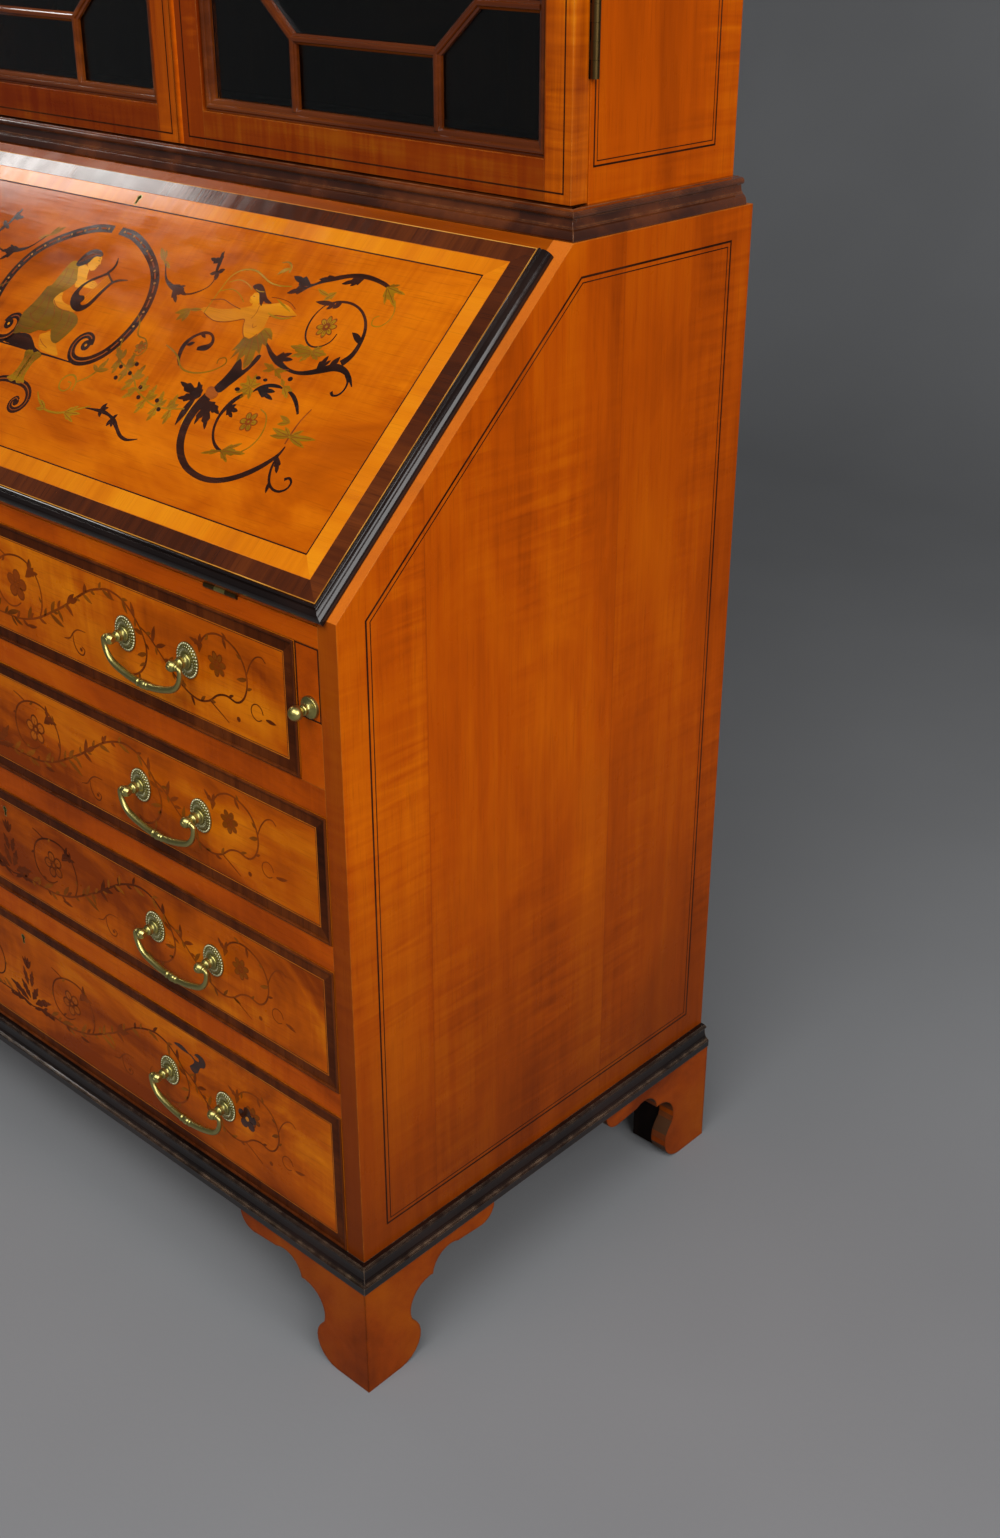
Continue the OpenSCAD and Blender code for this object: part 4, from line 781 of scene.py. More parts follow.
BASE = [(0, 0), (10.3, 0), (10.9, 0.7), (10.9, 7.4), (10.2, 8.2), (9.2, 8.5)]
for k in range(7):
    a = math.pi / 2 * k / 6
    BASE.append((5.2 + 3.9 * (1 - math.sin(a)), 19.2 - 10.0 * math.cos(a)))
BASE += [(5.9, 19.6)] + arc(5.2, 21.8, 1.9, -50, 88, 6) + [(4.6, 24.3), (0, 24.5)]
WAIST = [(-19, 0), (14.2, 0), (14.8, 0.5)] + arc(10.4, 1.8, 4.5, 0, 74, 5, 1.45)
WAIST += [(10.9, 8.6), (10.6, 9.3)]
for k in range(6):
    a = math.pi / 2 * k / 5
    WAIST.append((8.8 + 1.7 * (1 - math.sin(a)), 15.6 - 5.9 * math.cos(a)))
WAIST += arc(8.8, 18.5, 2.9, -78, 90, 7) + [(5.6, 21.6), (5.4, 21.98), (-19, 21.98)]


def moulding(name, node, section, half, front, back, base, material):
    """The front run with square ends inside the mitres, and the two runs along the sides."""
    piece = Piece(name, "carcase")
    solid_run(piece, section,
        [lambda u, v, s=s: cab(s * (half + max(u, 0) - 0.06), front - u, base + v)
            for s, _ in SIDES], material)
    out = [(u, v) for u, v in section if u > 0]
    for s, _ in SIDES:
        solid_run(piece, [(0, 0)] + out + [(0, section[-1][1])],
            [lambda u, v, s=s: cab(s * (half + u), front - u, base + v),
                lambda u, v, s=s: cab(s * (half + u), back, base + v)], material)
    made = piece.make()
    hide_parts(node)


moulding("base_profile", "base_moulding", BASE, HALF_W, 0.0, BODY_D, BASE_Z, ebony)
moulding("waist_profile", "waist_moulding", WAIST, BOOK_HALF, DOOR_Y, WAIST_BACK, WAIST_Z,
    waist_wood)

# Glazing bars with a rounded middle, and the moulding that frames each pane

BAR = [(-4.2, -8.95), (-4.2, -6.2), (-3.2, -5.6), (-2.5, -5.2), (-2.3, -4.2), (-1.7, -3.4),
    (-0.8, -3.05), (0.8, -3.05), (1.7, -3.4), (2.3, -4.2), (2.5, -5.2), (3.2, -5.6), (4.2, -6.2),
    (4.2, -8.95)]
SURROUND = [(0.05, -14.0), (0.05, -6.6), (0.7, -5.4), (1.8, -4.5), (3.2, -4.0), (4.4, -3.8),
    (4.6, -3.0), (5.3, -2.0), (6.6, -1.4), (8.0, -1.7), (9.0, -2.7), (9.3, -3.6), (10.8, -3.6),
    (10.8, -14.0)]
# The octagon's corners in a door: half widths and heights above the glass
NEAR, FAR, LOW, HIGH = 83.5, 127.5, 55.0, 93.0
for s, side, x0, x1 in ((-1, "left", -427.0, -38.7), (1, "right", 48.7, 427.0)):
    piece = Piece(f"door_{side}_astragals", f"door_{side}")
    mid, edge, rise = (x0 + x1) / 2, (x1 - x0) / 2, (GLASS_Z[1] - GLASS_Z[0]) / 2
    for t, foot in ((1, GLASS_Z[0]), (-1, GLASS_Z[1])):
        runs = [((-NEAR, LOW), (NEAR, LOW))]
        for d in (-1, 1):
            runs += [((d * NEAR, -1), (d * NEAR, LOW)), ((d * NEAR, LOW), (d * FAR, HIGH)),
                ((d * FAR, HIGH), (d * (edge + 1), HIGH)), ((d * FAR, HIGH), (d * FAR, rise))]
            if t > 0:
                runs.append(((d * FAR, rise), (d * (edge + 1), rise)))
        for k, run in enumerate(runs):
            a, b = (Vector((mid + x, foot + t * z)) for x, z in run)
            way = (b - a).normalized()
            across = Vector((-way.y, way.x))
            # Each bar lies a hair lower than the last, so that no two faces share a plane
            low = -0.004 * k
            solid_run(piece, BAR,
                [lambda u, h, p=p: on_door(p.x + across.x * u, p.y + across.y * u, h + low)
                    for p in (a - way * 1.2, b + way * 1.2)], bar_wood)
    corners = [(x0, GLASS_Z[0], -1, -1), (x1, GLASS_Z[0], 1, -1), (x1, GLASS_Z[1], 1, 1),
        (x0, GLASS_Z[1], -1, 1)]
    solid_run(piece, SURROUND, [lambda u, h, c=c: on_door(c[0] + c[2] * u, c[1] + c[3] * u, h)
        for c in corners], bar_wood, True)
    made = piece.make()
    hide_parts(f"door_{side}_bars")

# Lip of the fall: a large round with a small bead inside it, as [distance from the edge, height]

SECTION = [(0.0, LIP_Z), (0.0, LIP_Z + 0.5)]
for k in range(1, 10):
    a = math.pi / 2 * k / 9
    SECTION.append((6.6 - 6.6 * math.cos(a), LIP_Z + 0.5 + 7.4 * math.sin(a)))
SECTION += [(7.2, 13.6), (7.5, 13.2), (7.8, 13.5)] + arc(9.3, 13.5, 1.4, 170, 10, 6)
SECTION += [(10.9, 13.2), (10.9, LIP_Z)]
piece = Piece("fall_lip_profile", "fall")
ends = [(-FALL_HALF, FALL_LEN, 1, 0), (-FALL_HALF, 0.5, 1, 1), (FALL_HALF, 0.5, -1, 1),
    (FALL_HALF, FALL_LEN, -1, 0)]
solid_run(piece, SECTION, [lambda u, h, e=e: on_fall(e[0] + e[2] * u, e[1] + e[3] * u, h)
    for e in ends], lip_wood)
made = piece.make()
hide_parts("fall_lip")

# Drawer fronts: cock bead, crossbanding and lines

COCK = [(0.15, -1.2), (0.15, 0.9)]
for k in range(1, 6):
    a = math.pi * k / 6
    COCK.append((1.3 - 1.15 * math.cos(a), 0.9 + 0.8 * math.sin(a)))
COCK += [(2.45, 0.9), (2.45, -1.2)]
for n, (z0, z1, half) in FRONTS.items():
    piece = Piece(f"drawer_{n}_banding", f"drawer_{n}")
    corners = [(-half, z0, 1, 1), (half, z0, -1, 1), (half, z1, -1, -1), (-half, z1, 1, -1)]
    solid_run(piece, COCK, [lambda u, h, c=c: on_front(c[0] + c[2] * u, c[1] + c[3] * u, h)
        for c in corners], rosewood_x, True)
    outline = rectangle(-half, half, z0, z1)
    frame_band(piece, outline, 2.5, 12.0, on_front, -SUNK, 0.12, [rosewood_x, rosewood_z])
    frame_band(piece, outline, 12.0, 12.7, on_front, -SUNK, 0.14, [faint_line])
    frame_band(piece, outline, 12.7, 13.3, on_front, -SUNK, 0.13, [string_dark])
    piece.make()

# Lopers: the dirt in the joint round each end

for s, side in SIDES:
    piece = Piece(f"loper_{side}_joint", f"loper_{side}")
    outline = rectangle(*sorted(s * x for x in LOPER_X), *LOPER_Z)
    frame_band(piece, outline, 0.05, 1.3, on_front, -SUNK, 0.05, [string_dark])
    piece.make()

# Fall: crossbanding and lines, each ring between two rectangles of [half width, bottom, top]

piece = Piece("fall_banding", "fall")
RINGS = [(461.5, 11.6, 330.2), (460.7, 12.4, 329.5), (444.4, 27.3, 314.6), (443.8, 27.9, 314.0),
    (427.8, 44.0, 299.2), (426.6, 45.2, 298.0)]
LOCK_HALF = 6.0
LOOKS = [([string_light], 14.14), ([rosewood_slope, rosewood_end], 14.12), ([faint_line], 14.14),
    ([light_slope, light_x], 14.12), ([string_dark], 14.14)]
for outer, inner, (looks, high) in zip(RINGS, RINGS[1:], LOOKS):
    a, b = (rectangle(-half, half, v0, v1) for half, v0, v1 in (outer, inner))
    for k in range(4):
        m = (k + 1) % 4
        look = looks[k % len(looks)]
        if look == light_slope and k == 2:
            # The upper strip is pierced for the keyhole
            for s, _ in SIDES:
                ends = [(s * LOCK_HALF, b[2][1]), (s * b[2][0], b[2][1]), (s * a[2][0], a[2][1]),
                    (s * LOCK_HALF, a[2][1])]
                prism(piece, ends[::s], on_fall, FALL_TOP - SUNK, high, look)
            pierced(piece, rectangle(-LOCK_HALF, LOCK_HALF, b[2][1], a[2][1]),
                keyhole(0.0, FALL_KEY_V, 1.1), on_fall, FALL_TOP - SUNK, high, look)
        else:
            prism(piece, [a[k], a[m], b[m], b[k]], on_fall, FALL_TOP - SUNK, high, look)
piece.make()


class Inlay:
    """Draws inlay on a surface, layer over layer, and its mirror image too unless told not to."""

    def __init__(self, piece, place, ground, both=True):
        self.piece, self.place, self.ground, self.both = piece, place, ground, both
        self.count = 0

    def sides(self, layer):
        # Each shape lies a hair above the last, so that no two tops share a plane
        self.count += 1
        high = self.ground + 0.10 + 0.05 * layer + 0.004 * (self.count % 12)
        for flip in (1, -1) if self.both else (1,):
            yield (lambda x, y, h, flip=flip: self.place(flip * x, y, h)), self.ground - 0.3, high

    def shape(self, outline, look, layer=0):
        for place, low, high in self.sides(layer):
            prism(self.piece, outline, place, low, high, look)

    def curved(self, outline, look, layer=0, steps=3):
        self.shape(smooth_line(outline, steps, True), look, layer)

    def line(self, points, look, layer=0, steps=4):
        for place, low, high in self.sides(layer):
            ribbon(self.piece, points, place, low, high, look, steps)

    def thin(self, points, look, width=0.6, layer=1, steps=4):
        self.line([(x, y, width) for x, y in points], look, layer, steps)

    def dot(self, x, y, r, look, layer=0, squash=1.0, turn=0.0):
        c, s = math.cos(math.radians(turn)), math.sin(math.radians(turn))
        self.shape([(x + u * c - v * s, y + u * s + v * c) for u, v in circle(12, r, squash * r)],
            look, layer)

    def leaf(self, x, y, angle, length, width, look, layer=0, bend=0.0, lobes=0, vein=None):
        """A pointed leaf from its stalk. Lobes give it a toothed edge. A vein is drawn over it."""
        count = 4 * max(lobes, 3)
        left, right, middle = [], [], []
        px, py = x, y
        for k in range(count + 1):
            t = k / count
            w = width / 2 * math.sin(math.pi * min(0.08 + 0.92 * t, 0.985)) ** 0.85
            if lobes:
                w *= 0.5 + 0.6 * ((t * lobes * 0.999) % 1.0)
            heading = math.radians(angle + bend * t)
            nx, ny = -math.sin(heading), math.cos(heading)
            left.append((px + nx * w, py + ny * w))
            right.append((px - nx * w, py - ny * w))
            middle.append((px, py, 0.5))
            px += math.cos(heading) * length / count
            py += math.sin(heading) * length / count
        for place, low, high in self.sides(layer):
            strip(self.piece, left, right, place, low, high, look)
        if vein:
            self.line(middle[1:-2], vein, layer + 1, 1)

    def spray(self, x, y, look, *leaves, layer=0, lobes=0):
        """Straight leaves of [angle, length, width] from one point. Green ones are veined."""
        for angle, length, width in leaves:
            self.leaf(x, y, angle, length, width, look, layer, 0.0, lobes,
                inlay_brown if look == inlay_green else None)

    def flower(self, x, y, r, petals, look, line, layer=0, turn=0.0):
        """Oval petals with an outline and a middle line, round a ringed centre."""
        for k in range(petals):
            t = 2 * math.pi * k / petals + turn
            c, q = math.cos(t), math.sin(t)
            size = math.pi * r / petals * 1.25
            for scale, paint, rise in ((1.0, line, 0), (0.7, look, 2)):
                cx, cy = x + 0.6 * r * c, y + 0.6 * r * q
                ring = circle(10, 0.42 * r * scale, 0.5 * size * scale)
                self.shape([(cx + u * c - v * q, cy + u * q + v * c) for u, v in ring], paint,
                    layer + rise)
            self.line([(x + far * r * c, y + far * r * q, width)
                for far, width in ((0.2, 0.8), (0.62, 0.4))], line, layer + 3, 1)
        self.dot(x, y, 0.24 * r, line, layer + 3)
        self.dot(x, y, 0.12 * r, look, layer + 4)

    def sprouts(self, stem, start, end, pitch, length, width, looks, spread=48):
        """Small leaves on both sides of a stem, from one length along it to another."""
        line = smooth_line(stem, 8)
        run, due, side = 0.0, start, 1
        for a, b in zip(line, line[1:]):
            run += math.hypot(b[0] - a[0], b[1] - a[1])
            if due <= run <= end:
                heading = math.degrees(math.atan2(b[1] - a[1], b[0] - a[0]))
                self.leaf(b[0], b[1], heading + side * random.uniform(0.7, 1.2) * spread,
                    length * random.uniform(0.7, 1.25), width, random.choice(looks), 0,
                    side * random.uniform(-35, 10))
                due += pitch * random.uniform(0.75, 1.25)
                side = -side


def steps_of(line):
    """The points of a line, each with the length of the step to the next."""
    return [(a, math.hypot(b[0] - a[0], b[1] - a[1])) for a, b in zip(line, line[1:])]


def along_line(points, start, end, steps=8):
    """The stretch of a smooth line between two lengths."""
    out, run = [], 0.0
    for a, step in steps_of(smooth_line(points, steps)):
        if start <= run <= end:
            out.append(a)
        run += step
    return out


# Marquetry of the fall: x from the middle, v up the slope

piece = Piece("fall_marquetry", "fall")
draw = Inlay(piece, on_fall, FALL_TOP)
OVAL = [(5, 271.5, 8), (25, 269.5, 9), (45, 262.5, 9), (65, 252, 9), (80, 241, 9), (91, 228, 9.5),
    (98, 212, 9.5), (100.5, 196, 9.5), (99, 180, 9.5), (94, 165.5, 9.5), (86.5, 153.5, 9.5),
    (76.5, 145, 9.5), (66, 140.5, 9), (56, 140, 8.5), (47.5, 144, 8), (43.2, 152.5, 7.6),
    (45.5, 161.5, 7), (53, 165.8, 6.6), (60.5, 163.2, 6.6), (63, 157, 7)]
draw.line(OVAL, inlay_dark, 0, 6)
draw.dot(58, 156, 5.6, inlay_dark)
draw.dot(58, 156, 1.5, inlay_pale, 1)
# The band round the oval: dots and dashes, and a line down its middle
total = sum(step for _, step in steps_of(smooth_line(OVAL, 8)))
run = 6.0
while run < total - 96:
    x, v, _ = along_line(OVAL, run, run + 3, 20)[0]
    draw.dot(x, v, 1.15, string_light, 1)
    dash = [(x, v, 1.5) for x, v, _ in along_line(OVAL, run + 2.8, run + 12.8, 20)]
    draw.line(dash[::3], pen_brown, 1, 2)
    run += 15.4
draw.line([(x, v, 1.1) for x, v, _ in along_line(OVAL, run, total - 6)][::3], inlay_brown, 1, 3)
C_SCROLL = [(-0.2, 105, 6), (10, 105.3, 6.5), (20, 103.2, 6.5), (28, 97.8, 6.5), (31.6, 90, 6.5),
    (29, 82.5, 6.3), (22, 78.8, 6), (15.2, 80.6, 5.5), (13, 86, 4.8), (16.5, 90.5, 4.5),
    (20.5, 89, 4.5)]
draw.line(C_SCROLL, inlay_dark, 0, 6)
draw.dot(19.5, 86.5, 3.6, inlay_dark)
draw.line([(x, v, 0.9) for x, v, _ in along_line(C_SCROLL, 4, 84)][::3], inlay_brown, 1, 3)
draw.line([(0, 137, 2.2), (30, 137, 1.8), (66, 136.6, 1.0)], inlay_dark, 0, 3)
draw.curved([(0, 106), (13, 106), (8.5, 111), (7, 120), (8, 128), (12, 135.6), (0, 135.6)],
    inlay_green)
for x in (2.5, 5.0):
    draw.thin([(x, 110), (x * 0.8, 120), (x * 1.1, 133)], inlay_brown)
# Leaf work about the oval
draw.spray(84, 252, inlay_green, (140, 18, 5), (118, 12, 4), (-25, 14, 4))
draw.line([(88, 250, 1.4), (96, 240, 1.6), (103, 234, 2.6), (111, 230.5, 4.2), (120, 227.5, 4.5)],
    inlay_dark)
draw.spray(112, 231, inlay_dark, (-14, 25, 8.5), lobes=3)
draw.spray(117, 228, inlay_dark, (-42, 18, 6.5), (24, 13, 5), lobes=2)
draw.line([(132, 225.5, 1.2), (141, 227, 1.7), (150, 232, 1.3)], inlay_dark)
draw.line([(150, 232, 1.2), (156, 238, 1.1), (157, 246, 1.4), (153, 254, 3.0), (150, 263, 4.0),
    (147, 273, 1.0)], inlay_dark)
draw.spray(151, 262, inlay_dark, (172, 14, 6.5), (118, 11, 5), lobes=2)
draw.spray(155, 252, inlay_dark, (-62, 8, 5), (35, 8, 5), (200, 8, 4))
draw.spray(152, 213, inlay_green, (205, 16, 5), (238, 15, 6), (268, 13, 5), (10, 14, 3.4))
draw.line([(96, 196, 1.0), (104, 190, 1.4), (112, 178, 1.4), (124, 176, 1.2), (132, 168, 1.2),
    (128, 160, 1.2), (120, 161, 1.0)], inlay_green)
draw.flower(124, 168, 6.5, 6, inlay_green, inlay_brown)
GARLAND = [(97, 172, 1.2), (103, 158, 1.4), (113, 150, 1.5), (126, 146, 1.5), (140, 139, 1.5),
    (152, 130, 1.5), (166, 125, 1.5), (182, 121, 1.4), (200, 122, 1.4), (218, 126, 1.2)]
draw.line(GARLAND, inlay_green)
for x, v, angle in ((108, 152, 120), (108, 152, -60), (122, 147, 70), (124, 147, -70),
        (138, 140, 50), (140, 139, -95), (153, 130, 65), (150, 131, -110), (168, 125, 60),
        (168, 124, -80), (184, 121, 75), (186, 121, -75), (198, 122, 60), (202, 122, -60)):
    draw.leaf(x, v, angle, 15, 7.0, inlay_green, 0, 40 if angle > 0 else -40, 2, inlay_brown)
    draw.leaf(x + 2, v, angle - 38, 11, 5.2, inlay_green, 0, 30 if angle > 0 else -30, 0,
        inlay_brown)
for x, v in ((116.6, 146), (132, 142.5), (133, 152), (154.5, 133), (159.5, 124), (182.5, 126),
        (190.5, 119), (119, 135)):
    draw.dot(x, v, 2.6, inlay_dark, 1, 0.75, -20)
draw.line([(78, 112, 1.2), (76, 121, 1.6), (69, 126, 1.8), (61, 124.5, 1.8), (57, 118, 1.6),
    (60, 111.5, 1.5), (67, 109.5, 1.4), (72, 113, 1.3), (71, 118.5, 1.2), (66, 119, 1.2)],
    inlay_green)
draw.line([(76, 121, 1.4), (86, 128, 1.6), (93, 138, 1.8), (96, 150, 1.4)], inlay_green)
draw.spray(92, 136, inlay_green, (20, 13, 4.5), (70, 14, 5), (150, 10, 4))
draw.line([(38, 102, 1.2), (48, 94, 1.6), (62, 88.5, 2.0), (78, 89, 2.2), (92, 94, 2.2),
    (104, 100, 1.6), (112, 104, 1.0)], inlay_green)
draw.spray(86, 91, inlay_green, (-18, 18, 5), (10, 20, 5.5), (38, 16, 5), lobes=2)
draw.spray(60, 89, inlay_green, (150, 14, 4), (190, 11, 4))
draw.line([(107, 101, 1.0), (119, 102, 2.4), (130, 102.5, 3.8), (141, 101, 2.6), (150, 97.5, 4.2),
    (158, 92.5, 3.4), (168, 86.8, 3.2), (178, 85.4, 2.6), (189, 88.8, 0.8)], inlay_dark)
draw.spray(126, 103, inlay_dark, (68, 8.5, 4.5), (-52, 7.5, 4), (30, 9, 4))
draw.spray(146, 99, inlay_dark, (-100, 8, 4.5), (-55, 9, 4), (60, 6, 3.5))
# Curl behind the half figure
draw.line([(188.5, 180, 3.2), (193, 181.5, 5.4), (198.5, 183.5, 6.2), (201, 188, 4.2),
    (198.5, 193, 2.6), (192.5, 196, 2.4), (185, 195.2, 3.4), (178.5, 191.6, 2.8), (173.8, 186, 4.0),
    (171.8, 179.5, 5.0), (173, 173, 4.4), (176, 167, 3.0), (181, 161.5, 1.8)], inlay_dark)
draw.spray(175, 181, inlay_dark, (28, 8, 4))
draw.spray(182, 195, inlay_dark, (-25, 9, 3.5))
draw.line([(152, 176, 0.9), (163, 173, 1.4), (174, 168, 1.5), (183, 161, 1.6), (192, 158.2, 1.6),
    (203, 158.5, 1.5), (214, 161.5, 1.4), (224, 167, 1.3), (230, 174, 1.2), (226, 178.5, 1.1),
    (220, 176, 1.0), (221, 171.5, 0.9)], inlay_green)
# Half figure: cloth and arms, head, leafy skirt and stem
draw.line([(170, 213, 0.9), (171, 232, 1.0), (173, 250, 1.2), (180, 258.4, 1.7), (190, 261.6, 1.8),
    (200, 261, 1.8), (210, 257.6, 1.6), (221, 253.8, 1.5), (234, 252.8, 1.3), (247, 254.6, 1.0)],
    inlay_green)
for fold in ([(176, 246), (186, 250), (198, 248), (206, 244)], [(172, 236), (184, 240), (196, 237),
        (206, 231)]):
    draw.thin(fold, inlay_green, 0.9, 0)
draw.thin([(168, 226), (182, 229), (196, 226), (208, 224)], inlay_brown, 0.8, 0)
draw.line([(220, 274, 0.8), (227, 275.5, 1.4), (233, 272, 1.8), (234.5, 266, 1.6)], inlay_green)
draw.leaf(233, 270, 200, 13, 4, inlay_green, 0, 40)
ARMS = [(163, 216), (172, 219.4), (184, 219.6), (198, 222.5), (210, 226), (218, 229.5),
    (226, 232.5), (236, 234.5), (246, 237.6), (256, 237), (266, 233), (272, 229.8), (262, 227.4),
    (250, 226.6), (243.5, 224), (245.5, 214), (243, 206), (239, 200.5), (233, 199.6),
    (227.5, 203.5), (222.5, 210), (219, 216), (210, 212.8), (200, 209.6), (188, 208.2),
    (178, 210.2), (170, 213)]
draw.curved(ARMS, inlay_pale, 0, 2)
draw.thin(ARMS[16:], inlay_brown, 0.8)
draw.thin([(243.5, 223.5), (250, 226), (262, 227), (271, 229.5)], inlay_brown, 0.8)
draw.line([(240, 226.5, 0.8), (248, 224.6, 1.8), (258, 224.4, 1.8), (268, 227.2, 0.8)], inlay_green,
    2)
draw.line([(240, 240.5, 0.6), (248, 237.5, 1.8), (256, 234.4, 1.6), (262, 232.2, 0.6)], inlay_green,
    1)
draw.thin([(233, 241), (244, 241.5), (256, 240), (266, 235.5)], inlay_brown, 0.7)
draw.thin([(226, 231), (227.5, 224), (226, 218)], inlay_brown, 0.5)
draw.thin([(231.5, 214), (234, 210.5), (237, 213)], inlay_brown, 0.5)
FACE_R = [(211.5, 241.5), (210.9, 238.4), (209.9, 236.6), (211.3, 235.7), (211.2, 234.2),
    (212.2, 232.7), (214.8, 231.4), (217.2, 231.9), (217.6, 228.6), (223.5, 229.6), (223.4, 234.6),
    (221.5, 239.2), (217.5, 242.6)]
draw.shape(FACE_R, inlay_pale, 2)
draw.thin([(212.6, 238.0), (213.6, 238.3), (214.5, 237.9)], inlay_dark, 0.45, 3)
draw.thin([(211.9, 234.3), (213.0, 234.5)], inlay_brown, 0.4, 3)
draw.curved([(205, 246.8), (208.5, 250), (213.5, 250.3), (219, 247.4), (224, 243.2), (229.5, 239),
    (237.5, 235.6), (230.5, 234.7), (227, 236), (228, 231), (224, 233.6), (220.6, 237.4),
    (217, 241.6), (211.5, 243.4)], inlay_dark, 3, 3)
draw.thin([(210.5, 244.6), (216, 243.6), (221.5, 244.2)], inlay_green, 0.9, 4)
SKIRT = [(231, 201), (239, 199.6), (244, 205), (247, 213), (253, 213.6), (258.5, 210), (262.5, 204),
    (256.8, 205), (261, 197.2), (254.8, 199), (259.4, 189), (252.6, 192), (256.6, 181),
    (252.6, 173.4), (249, 177.2), (244.4, 186.2), (240.4, 176.8), (236.6, 187.2), (231.6, 178.6),
    (232.2, 189), (227.4, 185.6), (230.4, 194.4)]
draw.shape(SKIRT, inlay_green, 1)
for x0, v0, x1, v1 in ((236, 198, 233, 181), (239, 198, 240, 180), (242, 201, 250, 178),
        (244, 204, 257, 191), (246, 208, 259, 198), (248, 211, 261, 205)):
    draw.thin([(x0, v0), ((x0 + x1) / 2 + 0.6, (v0 + v1) / 2), (x1, v1)], inlay_brown, 0.7, 2)
draw.curved([(240.5, 180), (244, 180.6), (248.4, 176), (252.2, 172), (256, 177), (257.6, 187.6),
    (262, 188.6), (262, 183), (258.6, 173), (253.6, 163.6), (248.6, 155), (244.8, 148.6),
    (239, 147.2), (234.2, 150.6), (237.6, 160), (240, 170)], inlay_dark, 0, 2)
draw.curved([(228.4, 149.2), (233, 151.6), (239, 148.4), (243, 147), (243.4, 143.4), (239.6, 140.4),
    (234, 141.4), (230, 143)], inlay_brown, 1, 2)
BIG = [(234, 142, 11), (231, 134, 10.5), (229.3, 124, 9.5), (230.5, 112, 8.6), (236, 99, 7.8),
    (245, 88.5, 6.8), (257, 80.6, 5.8), (270, 76.4, 5.2), (285, 74.8, 5.0), (300, 77, 5.0),
    (314, 83, 5.2), (326, 91.5, 5.2), (336, 101.5, 4.6), (343, 112, 3.0), (344.6, 120, 1.2)]
draw.line(BIG, inlay_dark, 0, 6)
draw.leaf(221, 139, 262, 29, 7.4, inlay_dark, 0, 10)
draw.thin([(224.2, 136), (223.8, 124), (225, 112)], inlay_pale, 1.0, 1)
draw.spray(226, 140, inlay_dark, (166, 32, 9), (196, 24, 8.5), (134, 17, 7), lobes=3)
draw.spray(238, 138, inlay_dark, (-58, 28, 9), (-88, 22, 8), (-22, 21, 8), lobes=3)
for x, v, r, squash in ((260, 155, 3.0, 0.6), (274, 169.2, 2.8, 0.6), (282.5, 169, 2.4, 0.6),
        (307, 175.4, 2.6, 0.8)):
    draw.dot(x, v, r, inlay_dark, 1, squash)
# Top branch
draw.line([(263, 257.5, 4.6), (269, 260.5, 2.6), (276, 265, 3.6), (287, 270, 4.8),
    (300, 274.8, 4.2), (314, 277, 4.4), (330, 276, 3.8), (345, 272.4, 3.2), (352, 266.5, 1.4)],
    inlay_dark, 0, 5)
draw.spray(266, 259, inlay_dark, (168, 24, 9), lobes=2)
draw.spray(265, 257, inlay_dark, (206, 21, 8), lobes=2)
draw.spray(288, 271, inlay_dark, (196, 18, 6), lobes=2)
draw.spray(316, 275, inlay_dark, (204, 21, 7), (222, 13, 6), lobes=2)
draw.spray(344, 272, inlay_green, (-8, 22, 5), (-38, 25, 6), (-62, 17, 5), (20, 12, 4), lobes=2)
draw.line([(360, 262, 1.2), (366, 253, 1.1), (366.5, 244, 1.0), (361, 237.5, 1.1), (353, 237, 1.1),
    (350.5, 243, 1.0), (354.5, 246, 1.0)], inlay_green)
draw.leaf(297, 258, 230, 12, 7, inlay_green, 0, 0, 2, inlay_brown)
draw.leaf(291, 254, 175, 16, 3.6, inlay_green, 0, -20, 0, inlay_brown)
# Upper scroll with its flower
draw.line([(298, 247.5, 1.4), (307, 250.6, 2.2), (320, 251.2, 2.2), (333, 247.4, 2.2),
    (344, 239.4, 2.6), (350.6, 229, 3.2), (353, 217, 4.2), (352, 207, 5.4), (347, 199, 7)],
    inlay_dark, 0, 6)
draw.spray(303, 247.4, inlay_dark, (184, 21, 4.6), (228, 8, 4))
draw.leaf(309, 250.4, -128, 9, 5.4, inlay_dark)
draw.line([(296, 247, 1.0), (291.2, 239, 1.3), (289.4, 230, 1.6), (290.8, 221, 1.7),
    (295, 213.6, 1.7), (301.6, 208.6, 1.7), (309, 207, 1.4), (317, 209.4, 1.3), (323, 215.2, 1.2),
    (324.4, 222.6, 1.0)], inlay_dark)
draw.flower(309.5, 226.5, 10.5, 8, inlay_green, inlay_brown, 0, 0.2)
draw.leaf(353.4, 219, 142, 17, 5.4, inlay_dark, 0, 22)
draw.spray(311, 203, inlay_green, (180, 25, 8), (205, 20, 7), (240, 13, 6), (0, 16, 7),
    (-30, 12, 6), (40, 9, 5), layer=1, lobes=3)
draw.line([(256, 201.6, 1.4), (263, 197.4, 2.8), (272, 191.6, 4.2), (284, 186.6, 5.6),
    (297, 183, 3.2), (309, 182, 3.2), (321, 184.6, 4.6), (333, 190, 6.4), (344, 194.6, 7),
    (355, 193.6, 5), (364, 188.8, 3.4), (371.4, 182.4, 1.0)], inlay_dark, 0, 5)
draw.spray(277, 189, inlay_dark, (28, 17, 7), (8, 20, 7), lobes=2)
draw.spray(327, 188, inlay_dark, (78, 15, 7), (55, 14, 6), lobes=2)
draw.spray(338, 193, inlay_dark, (70, 12, 6))
draw.line([(359, 190.6, 2.6), (364.6, 185.4, 2.0), (366, 178.6, 1.8), (363.4, 173, 1.9),
    (358.4, 171.4, 2.2), (354.8, 174, 2.8)], inlay_dark)
draw.spray(285, 180, inlay_green, (170, 15, 5), (10, 18, 5.5), (-28, 14, 5), (200, 12, 4), lobes=2)
